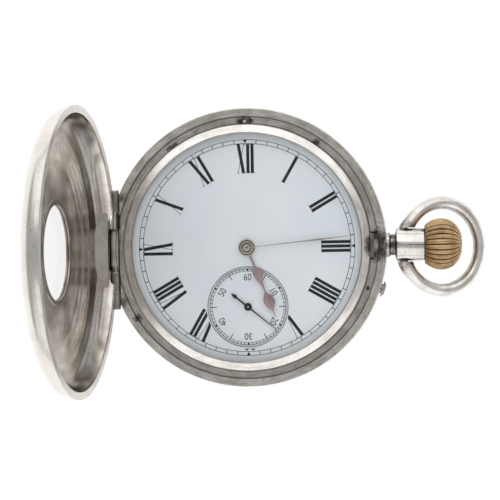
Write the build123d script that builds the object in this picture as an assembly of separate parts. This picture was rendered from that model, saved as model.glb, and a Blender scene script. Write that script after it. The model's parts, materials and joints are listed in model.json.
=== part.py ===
from build123d import *
import math
import os

# Half hunter pocket watch, lid open, lying on its back. Millimetres.
# Origin: middle of the flat on the rear cover, under the hands. +X to the pendant at three o'clock,
# +Y to twelve o'clock, +Z out of the dial.

# Case: heights of the two joints, the widest circle and the walls
case_radius = 25.5
rim_inset = 0.2
rear_joint = 4.4
front_joint = 10.6
lid_depth = 5.05
cover_wall = 0.7
cuvette_wall = 0.5
cuvette_gap = 0.9
rest_radius = 14.0
fit = 0.05
running = 0.04
cut_over = 4.0

swell_run = 6.0

# Middle band, seen in section from the front: outer lip, sunk step for the bezel, collar, ledge, channel
lip_width = 1.4
step_width = 1.95
step_depth = 0.8
collar_wall = 0.35
collar_rise = 1.1
channel_wall = 2.15
channel_roof = 0.6
channel_floor = 0.8
rear_collar_rise = 0.7
boss_flat = 0.05
register_inset = 0.85
register_radius = 0.3
register_rise = 0.6
register_depth = 0.35
register_sink_radius = 0.75
register_sink = 0.2

# Front bezel and its glass
bezel_inset = 1.4
bezel_height = 2.4
bezel_overhang = 1.1
glass_wall = 0.55
glass_seat = 0.4
glass_rise = 1.45
bezel_lip = 0.35
nail_slot_radius = 1.2
nail_slot_depth = 0.22
nail_slot_angle = 52.6

# Front lid and its window
lid_rim_width = 1.45
window_radius = 8.3
window_ring_width = 0.75
window_ring_height = 1.0
window_glass = 0.4
window_seat = 0.3
lid_open_angle = 97.7

# Hinges at nine o'clock
hinge_inset = 1.2
knuckle_radius = 0.85
hinge_half = 10.9
case_knuckle_half = 3.8
spring_gap_end = 6.7
knuckle_gap = 0.1
pocket_gap = 0.08
pocket_depth = 1.3
lid_cut_height = 1.0
lid_relief_height = 1.5
gusset_step = 0.37
gusset_reach = 1.5
gusset_height = 2.4
pin_radius = 0.35
rear_knuckle_radius = 0.75
rear_hinge_half = 9.5
rear_case_half = 1.9
cuvette_knuckle_end = 4.4
rear_pocket_depth = 1.15
strap_thickness = 0.4

# Pendant, bow, crown and stem, along +X at the height of the stem
stem_height = 7.0
pendant_bead_radius = 2.2
pendant_bead_length = 1.0
pendant_waist_radius = 1.9
pendant_waist_length = 1.1
sleeve_radius = 2.95
sleeve_length = 5.05
sleeve_lip = 0.12
collar_bore = 1.65
bow_pivot_back = 3.8
bow_ring_radius = 8.2
bow_wire_radius = 1.175
bow_wire_sides = 12
bow_reach = 7.0
bow_end_radius = 1.3
bow_end_length = 0.9
bow_trunnion_radius = 0.75
bow_trunnion_length = 1.0
press_travel = 0.5
crown_gap = 0.05
crown_radius = 4.7
crown_length = 6.8
crown_hub_radius = 1.55
crown_hub_length = 1.7
crown_skirt_radius = 3.55
crown_play = 0.1
crown_recess_extra = 0.15
crown_flutes = 28
crown_flute_share = 0.93
stem_radius = 0.6
stem_square = 0.84
stem_pilot_radius = 0.4
stem_pilot_length = 0.5

# Lock spring and lift spring, curved strips in the band's channel
strip_gap = 0.35
strip_thickness = 0.4
strip_floor_gap = 0.4
catch_half_width = 2.2
catch_nose_thickness = 0.75
catch_nose_rise = 0.3
catch_end_angle = 60.0
lift_start_angle = 104.0
lift_end_angle = 160.0
lift_seam_angle = 0.05
lift_leg = 0.4

# Push piece for setting the hands
push_angle = -18.2
push_radius = 0.9
push_head_radius = 1.45
push_head_height = 0.6
push_travel = 0.3
push_tail_gap = 0.14

# Movement: heights from the rear, and plates
cock_gap = 0.9
cock_thickness = 0.8
rear_plate_thickness = 1.3
plate_space = 2.9
main_plate_thickness = 1.6
movement_gap = 0.4
flange_gap = 0.1
flange_thickness = 0.8
ledge_thickness = 0.75
ledge_width = 0.95
pillar_radius = 1.1
pillar_inset = 1.7
pillar_angles = (20.0, 120.0, -38.0, -82.0)
screw_head_radius = 1.25
screw_head_height = 0.45
screw_shank_radius = 0.6
dog_inset = 1.4
dog_head_radius = 2.2
dog_angles = (75.0, 195.0)
arbor_radius = 0.4
pivot_radius = 0.18
pivot_depth = 0.6
jewel_radius = 0.75
jewel_thickness = 0.3
wheel_thickness = 0.2
level_gap = 0.15

# Going train: teeth, leaves and modules
barrel_teeth = 48
centre_leaves = 8
centre_teeth = 48
third_leaves = 6
third_teeth = 45
fourth_leaves = 6
fourth_teeth = 48
escape_leaves = 6
escape_teeth = 15
barrel_module = 0.36
centre_module = 0.293
third_module = 0.266
fourth_module = 0.213
barrel_angle = 55.0
seconds_drop = 10.8
wheel_rim = 0.55
wheel_hub = 1.1
wheel_spoke = 0.5
escape_angle = 195.0
escape_radius = 2.94
escape_tooth_height = 0.75
pallet_reach = 3.4
pallet_swing = 5.0
stone_gap = 0.2
stone_width = 0.34
stone_length = 0.75
fork_width = 0.32
notch_width = 0.42
roller_pin_radius = 0.14
roller_pin_reach = 1.0
roller_radius = 1.45
roller_thickness = 0.22
balance_arm = 4.6
balance_radius = 6.9
balance_rim_width = 0.65
balance_rim_height = 0.8
balance_arm_width = 0.9
balance_arm_height = 0.4
balance_hub_radius = 1.1
balance_screw_radius = 0.34
balance_screw_length = 0.45
balance_screws = 10
balance_clear = 0.6
balance_shake = 0.5
hairspring_turns = 6
hairspring_inner = 1.05
hairspring_pitch = 0.6
hairspring_thickness = 0.1
hairspring_height = 0.22
hairspring_drop = 0.12
collet_radius = 0.85
cock_foot_angle = 166.0
cock_foot_inset = 4.0
cock_foot_radius = 2.2
cock_head_radius = 2.4
regulator_ring = 1.9
regulator_thickness = 0.35
regulator_tail = 7.2
regulator_width = 0.5
bridge_foot_angle = 233.0
bridge_foot_inset = 2.7
bridge_radius = 1.35
bridge_thickness = 0.6

# Barrel and mainspring
drum_clear = 0.35
drum_wall = 0.4
barrel_height = 1.85
flange_height = 0.5
barrel_cover_height = 0.3
barrel_hub_radius = 2.1
barrel_pivot_radius = 0.9
mainspring_turns = 3
mainspring_thickness = 0.4
mainspring_gap = 0.3

# Winding work
winding_module = 0.32
crown_wheel_teeth = 24
ratchet_teeth = 40
winding_leaves = 16
winding_wheel_height = 0.55
winding_sink = 0.9
crown_wheel_extra = 0.15
winding_reach = 0.2
winding_pinion_length = 1.6
clutch_radius = 1.9
clutch_length = 1.25
clutch_groove = 0.5
clutch_groove_depth = 0.5
clutch_tooth = 0.35
clutch_travel = 0.5
dog_teeth = 8
click_angle = 118.0
click_circle = 8.7
click_radius = 1.1
click_spring_width = 0.22
click_spring_length = 4.2
lever_x = 14.0
lever_y = -9.0
lever_thickness = 0.35
lever_stud_radius = 0.45
lever_hub_radius = 1.0
lever_arm_width = 0.8

# Motion work under the dial
motion_module = 0.24
cannon_leaves = 10
minute_teeth = 30
minute_leaves = 8
hour_teeth = 32
setting_teeth = 18
motion_sink = 0.75
motion_thickness = 0.24
motion_gap = 0.06
cannon_pipe = 0.66
hour_pipe = 1.0

# Dial and hands
dial_gap = 0.3
dial_thickness = 0.8
seconds_sink = 0.3
seconds_radius = 7.36
hand_gap = 0.25
hand_thickness = 0.2
hour_boss = 1.55
minute_boss = 1.1
seconds_boss = 0.7
hour_length = 13.7
minute_length = 19.6
seconds_length = 6.7
seconds_tail = 3.9
hour_angle = 158.3
minute_angle = 84.4
seconds_angle = 129.4

# Shapes of teeth: addendum and dedendum as shares of the module, widths as shares of the pitch
wheel_tooth_shares = (1.0, 1.2, 0.16, 0.60)
pinion_leaf_shares = (0.6, 1.6, 0.14, 0.34)
winding_tooth_shares = (0.8, 1.1, 0.20, 0.62)

# Sections of the front lid from the rim inwards: across from the opening to the rim, and up
lid_outer_shares = ((1.0, 0.16), (0.975, 0.42), (0.91, 0.64), (0.80, 0.81), (0.62, 0.93), (0.34, 0.985), (0.0, 1.0))
lid_inner_shares = ((1.0, 0.14), (0.965, 0.42), (0.88, 0.66), (0.73, 0.84), (0.46, 0.96), (0.0, 1.0))

# Half widths of the hands, as shares of the hour hand's length along and across
hour_hand_shares = (
    (0.09, 0.014), (0.33, 0.014), (0.34, 0.060), (0.36, 0.058), (0.565, 0.010), (0.655, 0.010),
    (0.69, 0.040), (0.76, 0.070), (0.83, 0.062), (0.88, 0.022), (0.92, 0.011), (1.0, 0.004),
)
minute_hand_shares = ((0.04, 0.012), (0.10, 0.010), (0.55, 0.016), (0.62, 0.015), (1.0, 0.004))

# Heights worked out from the sizes above
cuvette_back = cover_wall + cuvette_gap
cuvette_front = cuvette_back + cuvette_wall
cock_back = cuvette_front + cock_gap
plate_back = cock_back + cock_thickness
plate_front = plate_back + rear_plate_thickness
main_inner = plate_front + plate_space
main_outer = main_inner + main_plate_thickness
ledge_top = main_outer - flange_thickness
ledge_bottom = ledge_top - ledge_thickness
step_height = front_joint - step_depth
collar_top = step_height + collar_rise
channel_top = step_height - channel_roof
channel_bottom = rear_joint + channel_floor
dial_top = main_outer + dial_thickness
lid_top = front_joint + lid_depth

# Circles worked out from the widest one, from the outside in
rim_radius = case_radius - rim_inset
channel_radius = case_radius - channel_wall - cover_wall / 2
lip_inner = rim_radius - lip_width
bezel_radius = lip_inner - bezel_inset
register_circle = lip_inner - register_inset
collar_radius = lip_inner - step_width
strip_radius = collar_radius + strip_gap
case_bore = collar_radius - collar_wall
glass_opening = collar_radius - bezel_overhang
flange_radius = case_bore - flange_gap
dial_radius = case_bore - dial_gap
movement_radius = collar_radius - ledge_width - movement_gap
pillar_circle = movement_radius - pillar_inset
dog_circle = movement_radius - dog_inset
cock_foot_circle = movement_radius - cock_foot_inset
bridge_foot_circle = movement_radius - bridge_foot_inset

# Levels of the train, from the main plate down
centre_wheel_z = main_inner - wheel_thickness - level_gap
third_wheel_z = centre_wheel_z - wheel_thickness - level_gap
escape_wheel_z = third_wheel_z - level_gap
fourth_wheel_z = escape_wheel_z - wheel_thickness * 3 - level_gap
barrel_z = plate_front + level_gap
roller_z = fourth_wheel_z - level_gap
bridge_z = plate_front + level_gap * 2
balance_z = plate_back + balance_shake
hairspring_z = plate_back + hairspring_drop
winding_z = plate_back + level_gap
winding_floor = plate_back + winding_sink
winding_radius = stem_height - (winding_z + winding_wheel_height + crown_wheel_extra) + winding_reach


def place(distance, degrees, centre=(0, 0)):
    """A point at a distance and a direction from a centre."""
    angle = math.radians(degrees)
    return centre[0] + distance * math.cos(angle), centre[1] + distance * math.sin(angle)


def meeting(first, first_reach, second, second_reach, side):
    """The point at two given distances from two centres, on one side of the line between them."""
    gap = math.dist(first, second)
    along = (first_reach**2 - second_reach**2 + gap**2) / (2 * gap)
    off = math.sqrt(first_reach**2 - along**2) * side
    ux, uy = (second[0] - first[0]) / gap, (second[1] - first[1]) / gap
    return first[0] + along * ux - off * uy, first[1] + along * uy + off * ux


def heading(first, second):
    """Direction in degrees from one point to another."""
    return math.degrees(math.atan2(second[1] - first[1], second[0] - first[0]))


# Centres of the train in plan
centre = (0, 0)
barrel_distance = barrel_module * (barrel_teeth + centre_leaves) / 2
third_distance = centre_module * (centre_teeth + third_leaves) / 2
fourth_distance = third_module * (third_teeth + fourth_leaves) / 2
escape_distance = fourth_module * (fourth_teeth + escape_leaves) / 2
winding_distance = winding_module * (crown_wheel_teeth + ratchet_teeth) / 2
barrel_at = place(barrel_distance, barrel_angle)
fourth_at = (0, -seconds_drop)
third_at = meeting(centre, third_distance, fourth_at, fourth_distance, 1)
escape_at = place(escape_distance, escape_angle, fourth_at)
balance_heading = 128.1
pallet_at = place(pallet_reach, balance_heading, escape_at)
balance_at = place(balance_arm, balance_heading, pallet_at)
crown_wheel_at = (barrel_at[0] + math.sqrt(winding_distance**2 - barrel_at[1] ** 2), 0)
click_at = place(click_circle, click_angle, barrel_at)
motion_distance = motion_module * (cannon_leaves + minute_teeth) / 2
setting_distance = motion_module * (minute_teeth + setting_teeth) / 2
hour_module = 2 * motion_distance / (minute_leaves + hour_teeth)
minute_at = (motion_distance, 0)
setting_at = (motion_distance + setting_distance, 0)
cock_foot_at = place(cock_foot_circle, cock_foot_angle)
bridge_foot_at = place(bridge_foot_circle, bridge_foot_angle)
lever_at = (lever_x, lever_y)

# Places along the stem
crown_wheel_radius = winding_module * crown_wheel_teeth / 2
crown_wheel_root = crown_wheel_radius - winding_tooth_shares[1] * winding_module
crown_wheel_tip = crown_wheel_radius + winding_tooth_shares[0] * winding_module
ratchet_radius = winding_module * ratchet_teeth / 2
ratchet_tip = ratchet_radius + winding_tooth_shares[0] * winding_module
pinion_start = crown_wheel_at[0] + crown_wheel_root + fit
pinion_end = pinion_start + winding_pinion_length
clutch_end = pinion_start - clutch_tooth - fit
clutch_start = clutch_end - clutch_length
pendant_start = rim_radius - boss_flat
waist_start = pendant_start + pendant_bead_length
sleeve_start = waist_start + pendant_waist_length
sleeve_end = sleeve_start + sleeve_length
bow_pivot = sleeve_end - bow_pivot_back
crown_start = sleeve_end + crown_gap
crown_end = crown_start + crown_length
hub_start = crown_start - crown_hub_length
nose_outer = lip_inner - fit
lid_axis = -(rim_radius - hinge_inset)
pocket_wall = lid_axis + knuckle_radius + pocket_gap
rear_pocket_wall = lid_axis + rear_knuckle_radius + pocket_gap
bow_droop = math.degrees(math.asin((stem_height - bow_wire_radius) / (bow_reach + bow_ring_radius)))


def turned(*points):
    """A solid turned about the Z axis from an outline of radius and height."""
    return revolve(make_face(Polyline(*[flat(point) for point in points], close=True)), Axis.Z, 360)


def flat(point):
    """A radius and a height as a point on the XZ plane."""
    return (point[0], 0, point[1])


def swell(level, end, steps=3):
    """Points along an arc that leaves its first point level, both ends included."""
    run, rise = end[0] - level[0], end[1] - level[1]
    radius = (run**2 + rise**2) / (2 * rise)
    turn = math.asin(run / radius)
    turns = [turn * step / steps for step in range(steps + 1)]
    return [(level[0] + radius * math.sin(a), level[1] + radius * (1 - math.cos(a))) for a in turns]


def domed(shares, outer, inner, low, high):
    """Points of a cover's section from its rim to the edge of its opening."""
    return [(inner + (outer - inner) * across, low + (high - low) * up) for across, up in shares]


def disc(radius, low, high, at=(0, 0)):
    """An upright round bar between two heights."""
    bar = Cylinder(radius, high - low, align=(Align.CENTER, Align.CENTER, Align.MIN))
    return Pos(at[0], at[1], low) * bar


def ring(outer, inner, low, high, at=(0, 0)):
    """An upright tube between two heights."""
    return disc(outer, low, high, at) - disc(inner, low - cut_over, high + cut_over, at)


def block(x0, x1, y0, y1, z0, z1):
    """A box between two corners."""
    box = Box(x1 - x0, y1 - y0, z1 - z0, align=(Align.MIN, Align.MIN, Align.MIN))
    return Pos(x0, y0, z0) * box


def plate(points, low, high):
    """A flat piece with an outline of points between two heights."""
    return Pos(0, 0, low) * extrude(make_face(Polyline(*points, close=True)), high - low)


def along_stem(solid, degrees=0):
    """Lays a piece made along Z on the stem's axis, with its zero over the middle of the watch."""
    return Pos(0, 0, stem_height) * Rot(0, 0, degrees) * Rot(0, 90, 0) * solid


def across(solid, x, z):
    """Lays a piece made along Z on an axis along Y."""
    return Pos(x, 0, z) * Rot(-90, 0, 0) * solid


def tooth_outline(teeth, module, shares, phase):
    """Outline of straight-sided teeth around a centre at the origin."""
    addendum, dedendum, tip_share, root_share = shares
    pitch_radius = module * teeth / 2
    low, high = pitch_radius - dedendum * module, pitch_radius + addendum * module
    root_turn = root_share * 180 / teeth * pitch_radius / low
    tip_turn = tip_share * 180 / teeth * pitch_radius / high
    points = []
    for tooth in range(teeth):
        angle = phase + tooth * 360 / teeth
        points += [place(low, angle - root_turn), place(high, angle - tip_turn),
                   place(high, angle + tip_turn), place(low, angle + root_turn)]
    return points


def gear(teeth, module, shares, low, high, at=(0, 0), phase=0.0):
    """A toothed disc between two heights."""
    return Pos(at[0], at[1], 0) * plate(tooth_outline(teeth, module, shares, phase), low, high)


def mesh_phase(phase, teeth, other_teeth, degrees):
    """Phase of a wheel's teeth that lets it mesh with a neighbour seen in a given direction."""
    return degrees + 180 + 180 / other_teeth - (phase - degrees) * teeth / other_teeth


def crossed(radius, hub, spoke, low, high, at, spokes=4, phase=0.0):
    """The openings between the spokes of a crossed-out wheel, their outer edge in three chords."""
    windows = []
    for arm in range(spokes):
        start, end = phase + arm * 360 / spokes, phase + (arm + 1) * 360 / spokes
        rim_lean = math.degrees(math.asin(spoke / 2 / radius))
        hub_lean = math.degrees(math.asin(spoke / 2 / hub))
        first, last = start + rim_lean, end - rim_lean
        rim_angles = [first + (last - first) * step / 3 for step in range(4)]
        points = [place(hub, start + hub_lean, at)] + [place(radius, turn, at) for turn in rim_angles]
        windows.append(plate([*points, place(hub, end - hub_lean, at)], low - fit, high + fit))
    return windows


def train_wheel(teeth, module, low, at, bore, phase):
    """A brass wheel with four spokes."""
    high = low + wheel_thickness
    root = module * teeth / 2 - wheel_tooth_shares[1] * module
    wheel = gear(teeth, module, wheel_tooth_shares, low, high, at, phase)
    wheel -= crossed(root - wheel_rim, wheel_hub, wheel_spoke, low, high, at, 4, phase)
    return wheel - disc(bore, low - fit, high + fit, at)


def arbor(at, low, high, radius, pivot):
    """A steel arbor with a thinner pivot at each end."""
    body = disc(radius, low + pivot_depth, high - pivot_depth, at)
    return body + disc(pivot, low, high, at)


def hand(shares, length, low, boss, bore, degrees, thickness):
    """A hand cut from sheet: a boss and a symmetric outline, pointing along +Y before it is turned."""
    left = [(-across_share * hour_length, along_share * length) for along_share, across_share in shares]
    right = [(across_share * hour_length, along_share * length) for along_share, across_share in shares]
    blade = plate(left + right[::-1], low, low + thickness)
    body = blade + disc(boss, low, low + thickness)
    return Rot(0, 0, -degrees) * body - disc(bore, low - fit, low + cut_over)


def hinge_bar(radius, y0, y1, x, z):
    """A round bar along Y between two stations."""
    return across(disc(radius, y0, y1), x, z)


# Outer forms of the covers, used by the covers and by their hinge roots
def lid_form():
    edge = window_radius + window_ring_width
    rim = rim_radius + boss_flat
    section = domed(lid_outer_shares, rim, edge, front_joint, lid_top - boss_flat)
    return turned((0, front_joint), (rim, front_joint), *section, (0, lid_top - boss_flat))


def lid_hollow():
    edge = window_radius + window_ring_width
    rim = rim_radius + boss_flat - lid_rim_width
    top = lid_top - cover_wall - boss_flat
    section = domed(lid_inner_shares, rim, edge, front_joint, top)
    return turned((0, front_joint - fit), (rim, front_joint - fit), *section, (0, top))


def front_lid():
    body = lid_form() - lid_hollow()
    body -= disc(window_radius + window_ring_width, front_joint, lid_top + cut_over)
    half = hinge_half + knuckle_gap
    over = case_radius + cut_over
    form = lid_form()
    body += lid_gusset() & form
    body -= block(-over, pocket_wall, -half, half, front_joint - fit, front_joint + lid_cut_height)
    # The outer edge of the cut stands back, so that the open lid clears the band
    relief = lid_axis - knuckle_radius
    body -= block(-over, relief, -half, half, front_joint - fit, front_joint + lid_relief_height)
    for y0, y1 in lid_knuckles():
        web_top = front_joint + lid_cut_height + cover_wall
        web = block(lid_axis - knuckle_radius, pocket_wall, y0, y1, front_joint, web_top)
        body += web & form
        body += hinge_bar(knuckle_radius, y0, y1, lid_axis, front_joint)
    return body - hinge_bar(pin_radius + running, -half, half, lid_axis, front_joint)


def lid_gusset():
    """The sloping fill inside the lid above its hinge."""
    low = front_joint + lid_cut_height
    high = low + gusset_height
    foot = pocket_wall + gusset_step
    face = [(lid_axis, low), (foot, low), (foot + gusset_reach, high), (lid_axis, high)]
    fill = extrude(make_face(Polyline(*[flat(p) for p in face], close=True)), hinge_half * 2, dir=(0, 1, 0))
    return Pos(0, -hinge_half, 0) * fill


def lid_knuckles():
    """The two spans of the lid's hinge knuckles along Y."""
    return (-hinge_half, -case_knuckle_half - knuckle_gap), (spring_gap_end + fit, hinge_half)


def window_ring():
    outer = window_radius + window_ring_width
    top = lid_top + fit
    seat = top - window_ring_height / 2 - window_glass / 2
    body = turned(
        (window_radius, top - window_ring_height),
        (outer, top - window_ring_height),
        (outer, lid_top - boss_flat),
        (outer - window_ring_width / 3, top),
        (window_radius, top),
    )
    return body - disc(window_radius + window_seat, seat, seat + window_glass)


def window_pane():
    seat = lid_top + fit - window_ring_height / 2 - window_glass / 2
    return disc(window_radius + window_seat, seat, seat + window_glass)


def band_ring():
    """The turned section of the middle band."""
    swell_end = (case_radius - rim_radius) * swell_run
    return turned(
        (lip_inner, front_joint),
        (lip_inner, step_height),
        (collar_radius, step_height),
        (collar_radius, collar_top),
        (case_bore, collar_top),
        (case_bore, ledge_top),
        (collar_radius - ledge_width, ledge_top),
        (collar_radius - ledge_width, ledge_bottom),
        (collar_radius, ledge_bottom),
        (collar_radius, channel_top),
        (channel_radius, channel_top),
        (channel_radius, channel_bottom),
        (case_bore, channel_bottom),
        (case_bore, rear_joint - rear_collar_rise),
        (collar_radius, rear_joint - rear_collar_rise),
        (collar_radius, rear_joint),
        (rim_radius, rear_joint),
        (case_radius, rear_joint + swell_end),
        (case_radius, front_joint - swell_end),
        (rim_radius, front_joint),
    )


def case_band():
    body = band_ring()
    # Front hinge: pocket, and the case's own knuckle with its root
    half = hinge_half + knuckle_gap
    over = case_radius + cut_over
    body -= block(-over, pocket_wall, -half, half, front_joint - pocket_depth, front_joint + cut_over)
    root = block(lid_axis - knuckle_radius, pocket_wall + fit, -case_knuckle_half, case_knuckle_half,
                 front_joint - pocket_depth - fit, front_joint)
    body += root & disc(case_radius, rear_joint, front_joint)
    body += hinge_bar(knuckle_radius, -case_knuckle_half, case_knuckle_half, lid_axis, front_joint)
    body -= hinge_bar(pin_radius, -half, half, lid_axis, front_joint)
    # Rear hinge, shared by the rear cover and the cuvette
    half = rear_hinge_half + knuckle_gap
    body -= block(-over, rear_pocket_wall, -half, half, rear_joint - cut_over, rear_joint + rear_pocket_depth)
    root = block(lid_axis - rear_knuckle_radius, rear_pocket_wall + fit, -rear_case_half, rear_case_half,
                 rear_joint, rear_joint + rear_pocket_depth + fit)
    body += root
    body += hinge_bar(rear_knuckle_radius, -rear_case_half, rear_case_half, lid_axis, rear_joint)
    body -= hinge_bar(pin_radius, -half, half, lid_axis, rear_joint)
    # Sunk seat and hole of the register pin at twelve o'clock
    body -= disc(register_sink_radius, step_height - register_sink, front_joint, (0, register_circle))
    body -= disc(register_radius, step_height - register_depth, front_joint, (0, register_circle))
    # Way up for the tip of the lift spring
    body -= block(lid_axis + pin_radius + fit, pocket_wall, case_knuckle_half + fit, spring_gap_end - fit,
                  channel_top - pocket_depth, front_joint)
    body -= block(pocket_wall - fit, -collar_radius + collar_wall, case_knuckle_half + fit, spring_gap_end - fit,
                  channel_top - pocket_depth, channel_top - fit)
    # Slot for the nose of the lock spring, bore of the pendant and its flat seat
    slot = catch_half_width + strip_thickness
    body -= block(collar_radius + knuckle_gap, nose_outer + knuckle_gap, -slot, slot,
                  stem_height + stem_radius, front_joint + fit)
    body -= along_stem(disc(collar_bore, strip_radius, over))
    body -= along_stem(disc(pendant_bead_radius + fit, pendant_start, over))
    # Bore of the push piece
    body -= along_stem(disc(push_radius + running, strip_radius, over), push_angle)
    return body


def rear_form(wall):
    """The rear cover's outer form, or its hollow where a wall is given."""
    rim = rim_radius - wall * 1.2
    shoulder = (rim, rear_joint - cover_wall * 1.1)
    flat_edge = (rest_radius - wall, wall)
    return turned((0, wall), *swell(flat_edge, shoulder), (rim, rear_joint), (0, rear_joint))


def rear_cover():
    body = rear_form(0) - rear_form(cover_wall)
    half = rear_hinge_half + knuckle_gap
    over = case_radius + cut_over
    body -= block(-over, rear_pocket_wall, -half, half, rear_joint - lid_cut_height, rear_joint + fit)
    form = rear_form(0)
    for side in (-1, 1):
        y0, y1 = sorted((side * (cuvette_knuckle_end + knuckle_gap), side * rear_hinge_half))
        web = block(lid_axis - rear_knuckle_radius, rear_pocket_wall, y0, y1,
                    rear_joint - lid_cut_height - cover_wall, rear_joint)
        body += web & form
        body += hinge_bar(rear_knuckle_radius, y0, y1, lid_axis, rear_joint)
    return body - hinge_bar(pin_radius + running, -half, half, lid_axis, rear_joint)


def cuvette():
    inner = collar_radius + fit
    outer = inner + cuvette_wall
    top = rear_joint - fit
    shoulder = rear_joint - rear_collar_rise - fit
    back_edge = (rest_radius * 0.85, cuvette_back)
    back_rim = (outer, shoulder - cuvette_wall)
    front_edge = (rest_radius * 0.85, cuvette_front)
    front_rim = (inner, shoulder)
    back, front = swell(back_edge, back_rim, 2), swell(front_edge, front_rim, 2)
    body = turned((0, cuvette_back), *back, (outer, top), (inner, top), *reversed(front), (0, cuvette_front))
    for side in (-1, 1):
        y0, y1 = sorted((side * (rear_case_half + knuckle_gap), side * cuvette_knuckle_end))
        body += block(lid_axis, -inner - cuvette_wall / 2, y0, y1, top - strap_thickness, top)
        body += hinge_bar(rear_knuckle_radius, y0, y1, lid_axis, rear_joint)
    half = rear_hinge_half + knuckle_gap
    return body - hinge_bar(pin_radius + running, -half, half, lid_axis, rear_joint)


def case_pins():
    """Two hinge pins, and the short pin that the edge of the bezel is set against at twelve o'clock."""
    front = hinge_bar(pin_radius, -hinge_half, hinge_half, lid_axis, front_joint)
    rear = hinge_bar(pin_radius, -rear_hinge_half, rear_hinge_half, lid_axis, rear_joint)
    register = disc(register_radius, step_height - register_depth, step_height + register_rise, (0, register_circle))
    return [front, rear, register]


def strip(start, end, low, high):
    """A curved strip of spring steel standing in the band's channel."""
    band = ring(strip_radius + strip_thickness, strip_radius, low, high)
    reach = case_radius + cut_over
    first, last = place(reach, start), place(reach, end)
    middle = place(reach * 2, (start + end) / 2)
    return band & plate([(0, 0), first, middle, last], low - fit, high + fit)


def lift_spring():
    low = channel_bottom + strip_floor_gap
    high = channel_top - pocket_depth + lift_leg * 2
    body = strip(lift_start_angle, lift_end_angle, low, high)
    y0, y1 = case_knuckle_half + knuckle_gap * 2, spring_gap_end - knuckle_gap * 2
    # The last stretch runs straight to the leg that climbs beside the hinge
    end_x = -math.sqrt(strip_radius**2 - y0**2)
    body += strip(lift_end_angle - lift_seam_angle, 180 - math.degrees(math.asin(y0 / strip_radius)), low, high)
    x0 = lid_axis + pin_radius + fit * 2
    x1 = x0 + lift_leg
    body += block(x0, end_x, y0, y1, high - lift_leg, high)
    tip = [(x0, high - lift_leg), (x1, high - lift_leg), (x1, front_joint),
           (x0 + lift_leg / 4, front_joint + lift_leg), (x0, front_joint + lift_leg / 2)]
    face = make_face(Polyline(*[flat(p) for p in tip], close=True))
    climb = extrude(face, y1 - y0, dir=(0, 1, 0))
    return body + Pos(0, y0, 0) * climb


def catch_spring():
    low = channel_bottom + strip_floor_gap
    high = ledge_bottom - fit
    leg = strip_thickness * 0.8
    body = strip(-math.degrees(math.asin(catch_half_width / strip_radius)), catch_end_angle, low, high)
    body += block(strip_radius, nose_outer, -catch_half_width, catch_half_width, high - leg, high)
    body += block(nose_outer - catch_nose_thickness, nose_outer, -catch_half_width, catch_half_width,
                  high - leg, front_joint + catch_nose_rise)
    slot = Box((strip_thickness + fit) * 8, stem_radius * 3.4, (stem_radius + fit) * 2)
    return body - Pos(strip_radius, 0, stem_height) * slot


def pendant():
    return along_stem(turned(
        (collar_bore, pendant_start),
        (pendant_bead_radius, pendant_start),
        (pendant_bead_radius, waist_start - pendant_bead_length / 3),
        (pendant_waist_radius, waist_start),
        (pendant_waist_radius, sleeve_start - pendant_waist_length / 3),
        (sleeve_radius + sleeve_lip, sleeve_start),
        (sleeve_radius, sleeve_start + sleeve_lip * 3),
        (sleeve_radius, sleeve_end - sleeve_lip),
        (sleeve_radius - sleeve_lip, sleeve_end),
        (collar_bore, sleeve_end),
    )) - bow_sockets()


def bow_sockets():
    low = sleeve_radius - bow_trunnion_length - fit
    socket = hinge_bar(bow_trunnion_radius + running, low, sleeve_radius + cut_over, bow_pivot, stem_height)
    return socket + mirror(socket, about=Plane.XZ)


def bow():
    """Round ring that ends flat beside the pendant, drawn level and then let down to the table."""
    shoulder = sleeve_radius + sleeve_lip + fit
    gap_angle = math.degrees(math.asin((shoulder - bow_wire_radius) / bow_ring_radius))
    start = Pos(bow_reach, 0, 0) * Rot(0, 0, -gap_angle) * Pos(-bow_ring_radius, 0, 0) * Rot(90, 0, 0)
    wire = RegularPolygon(bow_wire_radius, bow_wire_sides, rotation=180 / bow_wire_sides)
    body = revolve(start * wire, Axis((bow_reach, 0, 0), (0, 0, -1)), 360 - 2 * gap_angle)
    body -= block(-cut_over, bow_reach, -shoulder, shoulder, -cut_over, cut_over)
    for side in (-1, 1):
        end = disc(bow_end_radius, shoulder, shoulder + bow_end_length)
        end += Pos(0, 0, shoulder + bow_end_length) * Sphere(bow_end_radius)
        end += disc(bow_trunnion_radius, sleeve_radius - bow_trunnion_length, shoulder)
        body += Rot(-90 * side, 0, 0) * end
    return Pos(bow_pivot, 0, stem_height) * Rot(0, bow_droop, 0) * body


def push_collar():
    return along_stem(ring(collar_bore - fit, stem_radius + fit, nose_outer + fit, hub_start - fit))


def crown():
    """Onion crown with flutes that run from the skirt to the button at its end."""
    stations = (
        (0.0, crown_skirt_radius / crown_radius), (0.08, 0.86), (0.26, 0.98), (0.46, 1.0),
        (0.68, 0.93), (0.86, 0.76), (0.96, 0.55),
    )
    sections = []
    for along_share, radius_share in stations:
        points = []
        for flute in range(crown_flutes * 2):
            depth = 1 if flute % 2 else crown_flute_share
            points.append(place(crown_radius * radius_share * depth, flute * 180 / crown_flutes))
        outline = make_face(Polyline(*points, close=True))
        sections.append(Pos(0, 0, crown_start + along_share * crown_length) * outline)
    body = loft(sections, ruled=True)
    last_share, last_radius = stations[-1]
    button = crown_radius * last_radius * crown_flute_share * crown_flute_share
    body += disc(button, crown_start + last_share * crown_length, crown_end)
    body += disc(crown_hub_radius, hub_start, crown_start)
    # The skirt slides over the end of the sleeve when the crown is pressed
    recess_end = crown_start + press_travel + crown_recess_extra
    body -= ring(sleeve_radius + crown_play, crown_hub_radius, crown_start - fit, recess_end)
    body -= disc(stem_radius, hub_start - fit, crown_start + crown_length / 2)
    return along_stem(body)


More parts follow.
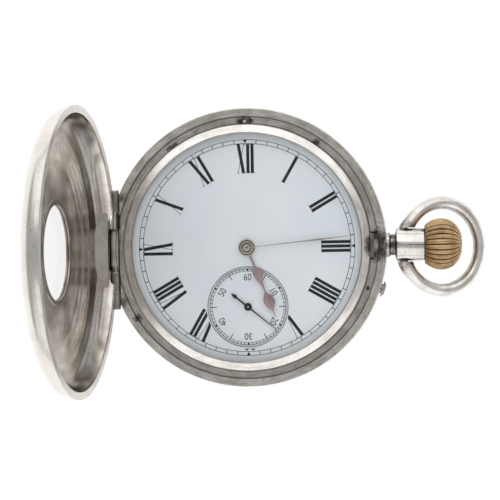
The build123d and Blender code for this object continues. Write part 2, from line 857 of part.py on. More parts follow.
def winding_stem():
    round_end = pinion_start + press_travel
    body = disc(stem_radius, round_end, crown_start + crown_length / 2)
    square_start = clutch_start - clutch_travel
    square = Box(stem_square, stem_square, round_end - square_start, align=(Align.CENTER, Align.CENTER, Align.MIN))
    body += Pos(0, 0, square_start) * square
    body += disc(stem_pilot_radius, square_start - stem_pilot_length, square_start)
    return along_stem(body)


def push_piece():
    tail = math.hypot(*lever_contact()) + push_tail_gap
    top = case_radius - fit
    body = disc(push_radius, tail, top + push_travel + fit)
    head = turned(
        (0, top + push_travel + fit),
        (push_head_radius, top + push_travel + fit),
        (push_head_radius, top + push_travel + push_head_height / 3),
        (push_head_radius * 0.6, top + push_travel + push_head_height),
        (0, top + push_travel + push_head_height),
    )
    return along_stem(body + head, push_angle)


def lever_contact():
    """Where the push piece meets the setting lever."""
    return place(movement_radius - fit, push_angle)


def rear_pocket(at):
    """Sunk seat for a jewel in the rear plate or a cock."""
    return disc(jewel_radius, plate_back - fit, plate_back + jewel_thickness, at)


def joined_discs(first, first_radius, second, second_radius, low, high):
    """A flat arm with a round end at each of two points."""
    gap = math.dist(first, second)
    angle = math.radians(heading(first, second))
    lean = math.acos((first_radius - second_radius) / gap)
    points = []
    for at, radius, side in ((first, first_radius, 1), (second, second_radius, 1),
                             (second, second_radius, -1), (first, first_radius, -1)):
        turn = angle + side * lean
        points.append((at[0] + radius * math.cos(turn), at[1] + radius * math.sin(turn)))
    body = plate(points, low, high)
    return body + disc(first_radius, low, high, first) + disc(second_radius, low, high, second)


def three_quarter_plate():
    body = disc(movement_radius, plate_back, plate_front)
    body -= disc(balance_radius + balance_screw_length + balance_clear, plate_back - fit, plate_front + fit, balance_at)
    body -= joined_discs(balance_at, balance_radius, place(movement_radius, 180), cock_foot_radius * 4,
                         plate_back - fit, plate_front + fit)
    body -= joined_discs(balance_at, balance_radius, place(movement_radius + cut_over, 209.7),
                         balance_radius * 1.2, plate_back - fit, plate_front + fit)
    # Sunk seats of the winding wheels, and the way through for the winding pinion
    body -= disc(ratchet_tip + level_gap, plate_back - fit, winding_floor, barrel_at)
    body -= disc(crown_wheel_tip + level_gap, plate_back - fit, winding_floor, crown_wheel_at)
    body -= disc(click_radius * 1.9, plate_back - fit, winding_floor, click_at)
    body -= joined_discs(*(part for end in click_spring_ends() for part in (end, click_radius / 2)),
                         plate_back - fit, winding_floor)
    body -= block(pinion_start - fit, pinion_end + fit, -winding_radius - fit, winding_radius + fit,
                  plate_back - fit, plate_front + fit)
    half = stem_height - plate_front + cut_over
    body -= block(clutch_start - clutch_travel - clutch_tooth - fit, pinion_start, -clutch_radius - fit,
                  clutch_radius + fit, winding_floor + level_gap, winding_floor + half)
    body -= disc(barrel_pivot_radius + running, plate_back - fit, plate_front + fit, barrel_at)
    for at, radius in bearing_holes():
        body -= disc(radius + running, plate_back - fit, plate_front + fit, at)
    for at in (third_at, fourth_at):
        body -= rear_pocket(at)
    for angle in pillar_angles:
        at = place(pillar_circle, angle)
        body -= disc(screw_head_radius + fit, plate_back - fit, plate_back + screw_head_height, at)
        body -= disc(screw_shank_radius, plate_back, plate_front + fit, at)
    for at in (click_at, crown_wheel_at):
        body -= disc(screw_shank_radius, plate_back, plate_front + fit, at)
    return body


def bearing_holes():
    """Bearings shared by both plates: a place and the radius of what turns there."""
    return ((centre, arbor_radius), (third_at, pivot_radius), (fourth_at, pivot_radius))


def main_plate():
    body = disc(movement_radius, main_inner, main_outer)
    body += disc(flange_radius, ledge_top, main_outer)
    sink = main_outer - motion_sink
    room = motion_gap * 4
    for at, radius in ((centre, hour_module * hour_teeth / 2 + hour_module),
                       (minute_at, motion_module * (minute_teeth / 2 + 1)),
                       (setting_at, motion_module * (setting_teeth / 2 + 1))):
        body -= disc(radius + room, sink, main_outer + fit, at)
    # Ways through for the winding pinion and the clutch
    body -= block(pinion_start - fit, pinion_end + fit, -winding_radius - fit, winding_radius + fit,
                  main_inner - fit, main_outer + fit)
    body -= along_stem(disc(clutch_radius + running * 2, clutch_start - clutch_travel - clutch_tooth - fit, pinion_start))
    body -= along_stem(disc(stem_radius + fit, pinion_end, flange_radius + fit))
    for at, radius in bearing_holes():
        body -= disc(radius + running, main_inner - fit, main_outer + fit, at)
    body -= disc(barrel_pivot_radius + running, main_inner - fit, main_inner + pivot_depth, barrel_at)
    for at in (escape_at, pallet_at, balance_at):
        body -= disc(pivot_radius + running, main_inner - fit, main_inner + pivot_depth + fit, at)
    body += disc(minute_stud_radius(), sink - fit, main_outer - motion_gap, minute_at)
    body += disc(minute_stud_radius(), sink - fit, main_outer - motion_gap, setting_at)
    return body


def minute_stud_radius():
    return motion_module * 1.25


def pillars():
    return [disc(pillar_radius, plate_front, main_inner, place(pillar_circle, angle)) for angle in pillar_angles]


def screw(at, head, head_low, shank, shank_high):
    """A cheese-headed screw with its head towards the rear."""
    return disc(head, head_low, head_low + screw_head_height, at) + disc(shank, head_low, shank_high, at)


def plate_screws():
    return [screw(place(pillar_circle, angle), screw_head_radius, plate_back, screw_shank_radius, plate_front)
            for angle in pillar_angles]


def movement_screws():
    """Dog screws that hold the movement in the case, and the screws of the cocks and winding work."""
    solids = [disc(dog_head_radius, main_inner - screw_head_height, main_inner, place(dog_circle, angle))
              for angle in dog_angles]
    low = winding_z - screw_head_height - fit
    solids.append(screw(crown_wheel_at, screw_head_radius, low, screw_shank_radius, plate_front))
    solids.append(screw(click_at, screw_head_radius * 0.7, low, screw_shank_radius, plate_front))
    solids.append(screw(lever_at, lever_hub_radius * 0.8, lever_z() - screw_head_height - fit, lever_stud_radius, main_inner))
    solids.append(disc(screw_head_radius, cock_back, cock_back + screw_head_height, cock_foot_at))
    solids.append(disc(screw_head_radius, bridge_z, bridge_z + screw_head_height, bridge_foot_at))
    return solids


def lever_z():
    return third_wheel_z - level_gap - lever_thickness


def crown_wheel():
    top = winding_z + winding_wheel_height + crown_wheel_extra
    body = gear(crown_wheel_teeth, winding_module, winding_tooth_shares, winding_z, top, crown_wheel_at, crown_wheel_phase)
    return body - disc(screw_shank_radius + running, winding_z - fit, top + fit, crown_wheel_at)


crown_wheel_phase = 0.0
ratchet_phase = mesh_phase(crown_wheel_phase, crown_wheel_teeth, ratchet_teeth, heading(crown_wheel_at, barrel_at))


def ratchet_wheel():
    top = winding_z + winding_wheel_height
    body = gear(ratchet_teeth, winding_module, winding_tooth_shares, winding_z, top, barrel_at, ratchet_phase)
    square = barrel_pivot_radius * math.sqrt(2)
    return body - Pos(barrel_at[0], barrel_at[1], winding_z) * Box(square, square, cut_over)


def click():
    top = winding_z + winding_wheel_height
    angle = heading(click_at, barrel_at)
    nose_reach = click_circle - ratchet_tip - fit
    nose = place(nose_reach, angle, click_at)
    body = joined_discs(click_at, click_radius, place(click_radius * 1.2, angle - 75, click_at), click_radius * 0.5,
                        winding_z, top)
    corner = place(click_radius * 0.95, angle + 40, click_at)
    other = place(click_radius * 0.95, angle - 60, click_at)
    body += plate([click_at, corner, nose, other], winding_z, top)
    return body - disc(screw_shank_radius + running, winding_z - fit, top + fit, click_at)


def click_spring():
    """Flat spring that bears on the click from the outside."""
    root, tip = click_spring_ends()
    half = click_spring_width / 2
    return joined_discs(root, half * 1.5, tip, half, winding_z, winding_z + winding_wheel_height)


def click_spring_ends():
    angle = heading(barrel_at, click_at)
    middle = place(click_radius + click_spring_width, angle, click_at)
    return place(click_spring_length * 0.8, angle + 82, middle), place(click_spring_length * 0.2, angle - 98, middle)


def winding_pinion():
    low, high = pinion_start, pinion_end
    module = 2 * winding_radius / (winding_leaves + 2 * pinion_leaf_shares[0])
    # A space between two leaves points at the crown wheel, under the stem
    body = gear(winding_leaves, module, pinion_leaf_shares, low, high, (0, 0), 180 / winding_leaves)
    body += dogs(low - clutch_tooth, low, clutch_radius * 0.8, 0.0)
    body -= disc(stem_radius + running, low - cut_over, high + cut_over)
    return along_stem(body)


def dogs(low, high, radius, phase):
    """A ring of square teeth on the end of a pinion."""
    body = None
    step = 360 / dog_teeth
    for tooth in range(dog_teeth):
        turn = phase + tooth * step
        points = [place(stem_radius * 1.6, turn - step * 0.18), place(radius, turn - step * 0.18),
                  place(radius, turn + step * 0.18), place(stem_radius * 1.6, turn + step * 0.18)]
        piece = plate(points, low, high)
        body = piece if body is None else body + piece
    return body


def clutch_wheel():
    body = disc(clutch_radius, clutch_start, clutch_end)
    middle = (clutch_start + clutch_end) / 2
    body -= ring(clutch_radius + fit, clutch_radius - clutch_groove_depth,
                 middle - clutch_groove / 2, middle + clutch_groove / 2)
    body += dogs(clutch_end, clutch_end + clutch_tooth, clutch_radius * 0.8, 180 / dog_teeth)
    body += dogs(clutch_start - clutch_tooth, clutch_start, clutch_radius, 180 / dog_teeth)
    body -= Pos(0, 0, clutch_start) * Box(stem_square + running * 2, stem_square + running * 2, cut_over * 4)
    return along_stem(body)


def setting_lever():
    low = lever_z()
    high = low + lever_thickness
    middle = (clutch_start + clutch_end) / 2
    finger = -(clutch_radius - clutch_groove_depth + fit)
    contact = lever_contact()
    end = (middle, -clutch_radius - lever_arm_width * 0.75)
    body = joined_discs(lever_at, lever_hub_radius, end, lever_arm_width / 2, low, high)
    body += block(middle - clutch_groove * 0.3, middle + clutch_groove * 0.3, end[1], finger, low, high)
    elbow = place(math.hypot(*contact) - lever_arm_width / 2, push_angle)
    body += joined_discs(lever_at, lever_hub_radius, elbow, lever_arm_width / 2, low, high)
    return body - disc(lever_stud_radius + running, low - fit, high + fit, lever_at)


# Going train
centre_phase = 0.0
third_pinion_phase = mesh_phase(centre_phase, centre_teeth, third_leaves, heading(centre, third_at))
third_phase = 0.0
fourth_pinion_phase = mesh_phase(third_phase, third_teeth, fourth_leaves, heading(third_at, fourth_at))
fourth_phase = 0.0
escape_pinion_phase = mesh_phase(fourth_phase, fourth_teeth, escape_leaves, heading(fourth_at, escape_at))
centre_pinion_phase = 0.0
barrel_phase = mesh_phase(centre_pinion_phase, centre_leaves, barrel_teeth, heading(centre, barrel_at))


def leaf_bore(leaves, module):
    """Radius of the solid core of a pinion."""
    return module * (leaves / 2 - pinion_leaf_shares[1])


def centre_pinion():
    low, high = barrel_z, centre_wheel_z - fit
    body = gear(centre_leaves, barrel_module, pinion_leaf_shares, low, low + flange_height * 2, centre, centre_pinion_phase)
    body += disc(arbor_radius, plate_back + fit, cannon_top() - hand_gap)
    return body + disc(leaf_bore(centre_leaves, barrel_module), low, high)


def minute_hand_low():
    return dial_top + hand_gap + hand_thickness + level_gap


def cannon_top():
    return minute_hand_low() + hand_thickness + level_gap


def centre_wheel():
    return train_wheel(centre_teeth, centre_module, centre_wheel_z, centre, arbor_radius, centre_phase)


def third_pinion():
    body = gear(third_leaves, centre_module, pinion_leaf_shares, third_wheel_z + wheel_thickness, main_inner - fit,
                third_at, third_pinion_phase)
    return body + arbor(third_at, plate_back + fit, main_outer - motion_sink, arbor_radius, pivot_radius) - plate_cut(third_at)


def plate_cut(at):
    """Keeps the thick part of an arbor between the plates."""
    return ring(arbor_radius * 2, pivot_radius, plate_back - cut_over, plate_front + fit, at) + ring(
        arbor_radius * 2, pivot_radius, main_inner - fit, main_inner + cut_over, at)


def third_wheel():
    return train_wheel(third_teeth, third_module, third_wheel_z, third_at, arbor_radius, third_phase)


def fourth_pinion():
    body = gear(fourth_leaves, third_module, pinion_leaf_shares, third_wheel_z - wheel_thickness,
                main_inner - fit, fourth_at, fourth_pinion_phase)
    top = dial_top - seconds_sink + hand_gap + hand_thickness
    body += arbor(fourth_at, plate_back + fit, main_outer - motion_sink, arbor_radius, pivot_radius) - plate_cut(fourth_at)
    return body + disc(pivot_radius, main_inner, top, fourth_at)


def fourth_wheel():
    return train_wheel(fourth_teeth, fourth_module, fourth_wheel_z, fourth_at, arbor_radius, fourth_phase)


def escape_pinion():
    low = bridge_z + bridge_thickness + fit
    body = gear(escape_leaves, fourth_module, pinion_leaf_shares, low, fourth_wheel_z + wheel_thickness * 2,
                escape_at, escape_pinion_phase)
    body += disc(arbor_radius, low, main_inner - fit, escape_at)
    return body + disc(pivot_radius, bridge_z, main_inner + pivot_depth, escape_at)


def escape_wheel():
    """Club-toothed wheel: fifteen raked teeth on a thin rim."""
    root = escape_radius - escape_tooth_height
    points = []
    step = 360 / escape_teeth
    for tooth in range(escape_teeth):
        turn = tooth * step
        for radius, share in ((root, -0.30), (escape_radius * 0.97, 0.16), (escape_radius, 0.30), (root * 1.04, 0.12)):
            points.append(place(radius, turn + share * step))
    low, high = escape_wheel_z, escape_wheel_z + wheel_thickness
    body = Pos(escape_at[0], escape_at[1], 0) * plate(points, low, high)
    body -= crossed(root - wheel_rim / 2, wheel_hub * 0.7, wheel_spoke * 0.7, low, high, escape_at, 4, 0)
    return body - disc(arbor_radius, low - fit, high + fit, escape_at)


def in_pallet_frame(points):
    """Points given along and across the line from the pallet staff to the balance."""
    angle = math.radians(balance_heading)
    return [(pallet_at[0] + a * math.cos(angle) - b * math.sin(angle),
             pallet_at[1] + a * math.sin(angle) + b * math.cos(angle)) for a, b in points]


def stone_points(side, inner, outer, width):
    """A pallet stone along a radius of the escape wheel, thirty degrees off the line of centres."""
    angle = math.radians(30 * side)
    points = []
    for reach, off in ((inner, -width / 2), (outer, -width / 2), (outer, width / 2), (inner, width / 2)):
        points.append((-pallet_reach + reach * math.cos(angle) - off * math.sin(angle),
                       reach * math.sin(angle) + off * math.cos(angle)))
    return in_pallet_frame(points)


def pallet_fork():
    low = escape_wheel_z - wheel_thickness / 4
    high = escape_wheel_z + wheel_thickness * 1.25
    tip = balance_arm - roller_pin_reach - roller_pin_radius - fit
    stone_in = escape_radius + stone_gap + stone_length * 0.35
    stone_out = escape_radius + stone_gap + stone_length
    body = disc(fork_width * 1.3, low, high, pallet_at)
    for side in (-1, 1):
        near = stone_points(side, stone_in, stone_out + fork_width, stone_width * 2.2)
        body += plate(near, low, high)
        middle = ((near[1][0] + near[2][0]) / 2, (near[1][1] + near[2][1]) / 2)
        body += joined_discs(pallet_at, fork_width * 1.2, middle, fork_width * 0.8, low, high)
        body -= plate(stone_points(side, stone_in - cut_over / 8, stone_out, stone_width), low - fit, high + fit)
    tail = [(0, fork_width * 0.8), (tip * 0.75, fork_width * 0.45), (tip * 0.82, notch_width * 1.5), (tip, notch_width * 1.3),
            (tip, notch_width / 2), (tip * 0.86, notch_width / 2), (tip * 0.86, -notch_width / 2),
            (tip, -notch_width / 2), (tip, -notch_width * 1.3), (tip * 0.82, -notch_width * 1.5),
            (tip * 0.75, -fork_width * 0.45), (0, -fork_width * 0.8)]
    body += plate(in_pallet_frame(tail), low, high)
    body += disc(arbor_radius * 0.7, bridge_z + bridge_thickness + fit, main_inner - fit, pallet_at)
    return body + disc(pivot_radius, bridge_z, main_inner + pivot_depth, pallet_at)


def pallet_stones():
    low = escape_wheel_z - wheel_thickness / 2
    high = escape_wheel_z + wheel_thickness * 1.5
    solids = []
    for side in (-1, 1):
        inner = escape_radius + stone_gap
        solids.append(plate(stone_points(side, inner, inner + stone_length, stone_width), low, high))
    return solids


def escape_bridge():
    top = bridge_z + bridge_thickness
    body = joined_discs(bridge_foot_at, cock_foot_radius * 0.75, escape_at, bridge_radius, bridge_z, top)
    body += joined_discs(escape_at, bridge_radius, pallet_at, bridge_radius * 0.8, bridge_z, top)
    body += disc(cock_foot_radius * 0.75, bridge_z, main_inner, bridge_foot_at)
    for at in (escape_at, pallet_at):
        body -= disc(pivot_radius + running, bridge_z - fit, top + fit, at)
    return body - disc(screw_head_radius, bridge_z - fit, bridge_z + screw_head_height, bridge_foot_at)


def balance_wheel():
    low, high = balance_z, balance_z + balance_rim_height
    body = ring(balance_radius, balance_radius - balance_rim_width, low, high, balance_at)
    arm_low = (low + high - balance_arm_height) / 2
    arm = Box(balance_radius * 2 - balance_rim_width, balance_arm_width, balance_arm_height,
              align=(Align.CENTER, Align.CENTER, Align.MIN))
    body += Pos(balance_at[0], balance_at[1], arm_low) * Rot(0, 0, balance_heading + 52) * arm
    body += disc(balance_hub_radius, arm_low, arm_low + balance_arm_height, balance_at)
    length = balance_screw_length + balance_rim_width / 2
    head = extrude(RegularPolygon(balance_screw_radius, 6), length)
    for number in range(balance_screws):
        turn = balance_heading + 52 + 180 / balance_screws + number * 360 / balance_screws
        stand = Rot(0, 0, turn) * Pos(balance_radius - balance_rim_width / 2, 0, 0) * Rot(0, 90, 0)
        body += Pos(balance_at[0], balance_at[1], (low + high) / 2) * stand * head
    return body - disc(arbor_radius, low - fit, high + fit, balance_at)


def balance_staff():
    body = disc(pivot_radius, cock_back + jewel_thickness, main_inner + pivot_depth, balance_at)
    body += disc(arbor_radius, plate_back + fit, main_inner - fit, balance_at)
    return body + disc(collet_radius, hairspring_z - fit, hairspring_z + hairspring_height + fit, balance_at)


def impulse_roller():
    body = disc(roller_radius, roller_z, roller_z + roller_thickness, balance_at)
    pin_at = place(roller_pin_reach, balance_heading + 180, balance_at)
    body += disc(roller_pin_radius, roller_z, escape_wheel_z + wheel_thickness * 1.25, pin_at)
    return body - disc(arbor_radius, roller_z - fit, roller_z + cut_over, balance_at)


def spiral_strip(turns, inner, pitch, thickness, low, high, at, phase):
    """A flat coil of half circles whose centres change sides, one unbroken strip, with its least gap."""
    edges_in, edges_out = [], []
    half_turns = turns * 2
    for part in range(half_turns):
        radius = inner + thickness / 2 + pitch / 4 + part * pitch / 2
        shift = pitch / 4 if part % 2 else -pitch / 4
        side = 1 if part % 2 == 0 else -1
        for edges, off in ((edges_in, -thickness / 2), (edges_out, thickness / 2)):
            r = radius + off
            edges.append(ThreePointArc((shift + r * side, 0), (shift, r * side), (shift - r * side, 0)))
    first_in, first_out = edges_in[0] @ 0, edges_out[0] @ 0
    last_in, last_out = edges_in[-1] @ 1, edges_out[-1] @ 1
    face = make_face([*edges_in, Line(last_in, last_out), *edges_out, Line(first_out, first_in)])
    coil = Pos(at[0], at[1], low) * Rot(0, 0, phase) * extrude(face, high - low)
    return coil, edges_in, edges_out


def least_gap(edges_in, edges_out):
    """Least distance between a turn's outer side and the next turn's inner side, measured on points."""
    steps = 24
    least = math.inf
    for number, edge in enumerate(edges_out[:-2]):
        others = [other @ (k / steps) for other in edges_in[number + 2:number + 4] for k in range(steps + 1)]
        for step in range(steps + 1):
            here = edge @ (step / steps)
            least = min(least, *[math.hypot(here.X - there.X, here.Y - there.Y) for there in others])
    return least


def hairspring():
    coil, inside, outside = spiral_strip(hairspring_turns, hairspring_inner, hairspring_pitch, hairspring_thickness,
                                         hairspring_z, hairspring_z + hairspring_height, balance_at, hairspring_phase)
    print("hairspring least gap to itself", round(least_gap(inside, outside), 3))
    return coil


hairspring_phase = 300.0
hairspring_end = hairspring_inner + hairspring_thickness + hairspring_pitch * hairspring_turns


def hairspring_stud():
    """Small block under the cock that holds the outer end of the hairspring."""
    size = hairspring_pitch * 1.2
    at = place(hairspring_end + size / 2 + fit, hairspring_phase, balance_at)
    height = hairspring_z + hairspring_height - plate_back
    bar = Box(size, size, height, align=(Align.CENTER, Align.CENTER, Align.MIN))
    return bar, at


def mainspring():
    low = barrel_z + flange_height + fit
    high = barrel_z + barrel_height - barrel_cover_height - fit
    pitch = mainspring_thickness * 2 + mainspring_gap * 2
    coil, _, _ = spiral_strip(mainspring_turns, barrel_hub_radius + fit, pitch, mainspring_thickness,
                              low, high, barrel_at, 0)
    return coil


def drum_radius():
    return barrel_module * (barrel_teeth / 2 - wheel_tooth_shares[1]) - drum_clear


def barrel_drum():
    low, high = barrel_z, barrel_z + barrel_height
    body = gear(barrel_teeth, barrel_module, wheel_tooth_shares, low, low + flange_height, barrel_at, barrel_phase)
    body += disc(drum_radius(), low + flange_height, high, barrel_at)
    body -= disc(drum_radius() - drum_wall, low + flange_height, high + fit, barrel_at)
    return body - disc(barrel_pivot_radius + running, low - fit, high + fit, barrel_at)


def barrel_cover():
    top = barrel_z + barrel_height
    return ring(drum_radius() - drum_wall, barrel_pivot_radius + running, top - barrel_cover_height, top, barrel_at)


def barrel_arbor():
    low, high = barrel_z + flange_height, barrel_z + barrel_height - barrel_cover_height
    body = disc(barrel_hub_radius, low + fit, high - fit, barrel_at)
    body += disc(barrel_pivot_radius, winding_z + winding_wheel_height, main_inner + pivot_depth - fit, barrel_at)
    square = barrel_pivot_radius * math.sqrt(2)
    bar = Box(square, square, winding_wheel_height, align=(Align.CENTER, Align.CENTER, Align.MIN))
    return body + Pos(barrel_at[0], barrel_at[1], winding_z) * bar


def jewels():
    """Pierced jewels let into the rear plate and the cock, and an endstone over the balance staff."""
    solids = []
    for at in (third_at, fourth_at):
        solids.append(ring(jewel_radius, pivot_radius + running, plate_back, plate_back + jewel_thickness, at))
    solids.append(disc(jewel_radius, cock_back, cock_back + jewel_thickness - fit, balance_at))
    return solids


def balance_cock():
    top = cock_back + cock_thickness
    body = joined_discs(cock_foot_at, cock_foot_radius, balance_at, cock_head_radius, cock_back, top)
    body += disc(cock_foot_radius, cock_back, main_inner, cock_foot_at)
    body -= disc(jewel_radius, cock_back - fit, cock_back + jewel_thickness - fit, balance_at)
    body -= disc(pivot_radius + running, cock_back - fit, top + fit, balance_at)
    body -= disc(screw_head_radius, cock_back - fit, cock_back + screw_head_height, cock_foot_at)
    bar, at = hairspring_stud()
    body += joined_discs(balance_at, cock_head_radius * 0.8, at, hairspring_pitch, cock_back, top) - disc(
        jewel_radius, cock_back - fit, top + fit, balance_at)
    return body


def regulator():
    low, high = cock_back - regulator_thickness - fit, cock_back - fit
    body = ring(regulator_ring, jewel_radius + running, low, high, balance_at)
    tail = place(regulator_tail, regulator_heading, balance_at)
    body += joined_discs(place(regulator_ring, regulator_heading, balance_at), regulator_width, tail,
                         regulator_width / 3, low, high)
    return body - disc(jewel_radius + running, low - fit, high + fit, balance_at)


regulator_heading = 40.0

# Motion work
cannon_phase = 0.0
minute_phase = mesh_phase(cannon_phase, cannon_leaves, minute_teeth, 0.0)
setting_phase = mesh_phase(minute_phase, minute_teeth, setting_teeth, 0.0)
minute_pinion_phase = 0.0
hour_phase = mesh_phase(minute_pinion_phase, minute_leaves, hour_teeth, 180.0)
motion_low = main_outer - motion_sink + motion_gap
motion_high = motion_low + motion_thickness + motion_gap


def cannon_pinion():
    body = gear(cannon_leaves, motion_module, pinion_leaf_shares, motion_low, motion_low + motion_thickness,
                centre, cannon_phase)
    body += disc(cannon_pipe, motion_low, cannon_top())
    return body - disc(arbor_radius + running, motion_low - fit, cannon_top() + fit)


def minute_wheel():
    body = gear(minute_teeth, motion_module, wheel_tooth_shares, motion_low, motion_low + motion_thickness,
                minute_at, minute_phase)
    body += gear(minute_leaves, hour_module, pinion_leaf_shares, motion_low + motion_thickness,
                 motion_high + motion_thickness, minute_at, minute_pinion_phase)
    return body - disc(minute_stud_radius() + running, motion_low - fit, main_outer, minute_at)


def setting_wheel():
    body = gear(setting_teeth, motion_module, winding_tooth_shares, motion_low, motion_low + motion_thickness,
                setting_at, setting_phase)
    return body - disc(minute_stud_radius() + running, motion_low - fit, main_outer, setting_at)


def hour_wheel():
    body = gear(hour_teeth, hour_module, wheel_tooth_shares, motion_high, motion_high + motion_thickness,
                centre, hour_phase)
    body += disc(hour_pipe, motion_high, dial_top + hand_gap + hand_thickness)
    return body - disc(cannon_pipe + running, motion_high - fit, dial_top + cut_over)


def dial():
    body = disc(dial_radius, main_outer, dial_top)
    body -= disc(hour_pipe + fit * 3, main_outer - fit, dial_top + fit)
    body -= disc(seconds_radius, dial_top - seconds_sink, dial_top + fit, fourth_at)
    return body - disc(pivot_radius + fit * 3, main_outer - fit, dial_top + fit, fourth_at)


def front_bezel():
    low = step_height + fit
    top = step_height + bezel_height
    seat_low = collar_top + glass_seat
    seat_high = seat_low + glass_wall
    body = turned(
        (collar_radius + fit, low),
        (bezel_radius, low),
        (bezel_radius, step_height + bezel_height * 0.35),
        (bezel_radius - bezel_lip * 0.5, top - bezel_lip * 1.5),
        (bezel_radius - bezel_lip * 1.6, top - bezel_lip * 0.4),
        (bezel_radius - bezel_lip * 3, top),
        (glass_opening, top - bezel_lip * 0.3),
        (glass_opening, collar_top + fit),
        (collar_radius + fit, collar_top + fit),
    )
    body -= disc(glass_opening + glass_seat, seat_low, seat_high)
    at = place(bezel_radius + nail_slot_radius - nail_slot_depth, nail_slot_angle)
    return body - disc(nail_slot_radius, low - fit, low + bezel_height * 0.3, at)


def crystal():
    low = collar_top + glass_seat
    high = low + glass_wall
    edge = glass_opening + glass_seat
    flat_edge = glass_opening - fit
    under = swell((0, low + glass_rise), (flat_edge, low))
    over = swell((0, high + glass_rise), (flat_edge, high))
    return turned(*under, (edge, low), (edge, high), *reversed(over))


def hour_hand():
    low = dial_top + hand_gap
    return hand(hour_hand_shares, hour_length, low, hour_boss, hour_pipe, hour_angle, hand_thickness)


def minute_hand():
    low = minute_hand_low()
    return hand(minute_hand_shares, minute_length, low, minute_boss, cannon_pipe, minute_angle, hand_thickness)


def seconds_hand():
    low = dial_top - seconds_sink + hand_gap * 0.8
    high = low + hand_thickness * 0.8
    spine = pivot_radius * 0.8
    points = [(-spine, -seconds_tail * 0.6), (-spine * 2.4, -seconds_tail * 0.8), (0, -seconds_tail),
              (spine * 2.4, -seconds_tail * 0.8), (spine, -seconds_tail * 0.6), (spine, 0),
              (spine * 0.35, seconds_length), (-spine * 0.35, seconds_length), (-spine, 0)]
    body = plate(points, low, high) + disc(seconds_boss, low, high)
    body -= disc(pivot_radius, low - fit, high + fit)
    return Pos(fourth_at[0], fourth_at[1], 0) * Rot(0, 0, -seconds_angle) * body


def stud_solid():
    bar, at = hairspring_stud()
    return Pos(at[0], at[1], plate_back) * Rot(0, 0, hairspring_phase) * bar


def opened(solid):
    """Swings the front lid back about its hinge to where its stop holds it."""
    turn = Pos(lid_axis, 0, front_joint) * Rot(0, -lid_open_angle, 0) * Pos(-lid_axis, 0, -front_joint)
    return turn * solid


nodes = {
    "case_band": case_band,
    "pendant": pendant,
    "front_lid": lambda: opened(front_lid()),
    "lid_window_ring": lambda: opened(window_ring()),
    "lid_window_glass": lambda: opened(window_pane()),
    "case_pins": case_pins,
    "lift_spring": lift_spring,
    "rear_cover": rear_cover,
    "cuvette": cuvette,
    "front_bezel": front_bezel,
    "crystal": crystal,
    "bow": bow,
    "push_collar": push_collar,
    "crown": crown,
    "winding_stem": winding_stem,
    "catch_spring": catch_spring,
    "push_piece": push_piece,
    "setting_lever": setting_lever,
    "winding_pinion": winding_pinion,
    "clutch_wheel": clutch_wheel,
    "crown_wheel": crown_wheel,
    "ratchet_wheel": ratchet_wheel,
    "click": click,
    "click_spring": click_spring,
    "barrel_drum": barrel_drum,
    "barrel_cover": barrel_cover,
    "barrel_arbor": barrel_arbor,
    "mainspring": mainspring,
    "main_plate": main_plate,
    "three_quarter_plate": three_quarter_plate,
    "plate_pillars": pillars,
    "plate_screws": plate_screws,
    "movement_screws": movement_screws,
    "centre_pinion": centre_pinion,
    "centre_wheel": centre_wheel,
    "third_pinion": third_pinion,
    "third_wheel": third_wheel,
    "fourth_pinion": fourth_pinion,
    "fourth_wheel": fourth_wheel,
    "escape_pinion": escape_pinion,
    "escape_wheel": escape_wheel,
    "pallet_fork": pallet_fork,
    "pallet_stones": pallet_stones,
    "escape_bridge": escape_bridge,
    "balance_wheel": balance_wheel,
    "balance_staff": balance_staff,
    "impulse_roller": impulse_roller,
    "hairspring": hairspring,
    "hairspring_stud": stud_solid,
    "balance_cock": balance_cock,
    "regulator": regulator,
    "jewels": jewels,
    "cannon_pinion": cannon_pinion,
    "minute_wheel": minute_wheel,
    "setting_wheel": setting_wheel,
    "hour_wheel": hour_wheel,
    "dial": dial,
    "hour_hand": hour_hand,
    "minute_hand": minute_hand,
    "seconds_hand": seconds_hand,
}


def write(name, made):
    shape = Compound(children=made) if isinstance(made, list) else made
    export_step(shape, os.path.join("parts", name + ".step"))


if __name__ == "__main__":
    os.makedirs("parts", exist_ok=True)
    for name, maker in nodes.items():
        write(name, maker())
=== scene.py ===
import json
import math

import bmesh
import bpy
from mathutils import Matrix, Vector


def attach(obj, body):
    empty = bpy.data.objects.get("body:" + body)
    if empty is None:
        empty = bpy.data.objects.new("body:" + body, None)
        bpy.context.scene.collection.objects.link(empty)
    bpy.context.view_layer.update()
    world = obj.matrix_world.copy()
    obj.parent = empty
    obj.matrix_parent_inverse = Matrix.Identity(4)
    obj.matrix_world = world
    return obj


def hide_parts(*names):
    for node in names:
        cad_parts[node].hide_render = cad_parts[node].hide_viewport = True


# Half hunter pocket watch, lid open, lying on its rear cover. Lengths here are in millimetres
# until a piece is finished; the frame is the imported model's, in metres.
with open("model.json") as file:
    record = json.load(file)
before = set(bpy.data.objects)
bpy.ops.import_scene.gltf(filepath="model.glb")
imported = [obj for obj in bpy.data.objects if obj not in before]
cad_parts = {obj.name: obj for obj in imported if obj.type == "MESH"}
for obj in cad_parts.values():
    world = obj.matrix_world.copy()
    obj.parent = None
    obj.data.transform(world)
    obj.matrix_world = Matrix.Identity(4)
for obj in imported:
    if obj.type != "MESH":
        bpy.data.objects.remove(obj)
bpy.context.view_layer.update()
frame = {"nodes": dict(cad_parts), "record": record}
MM = 0.001

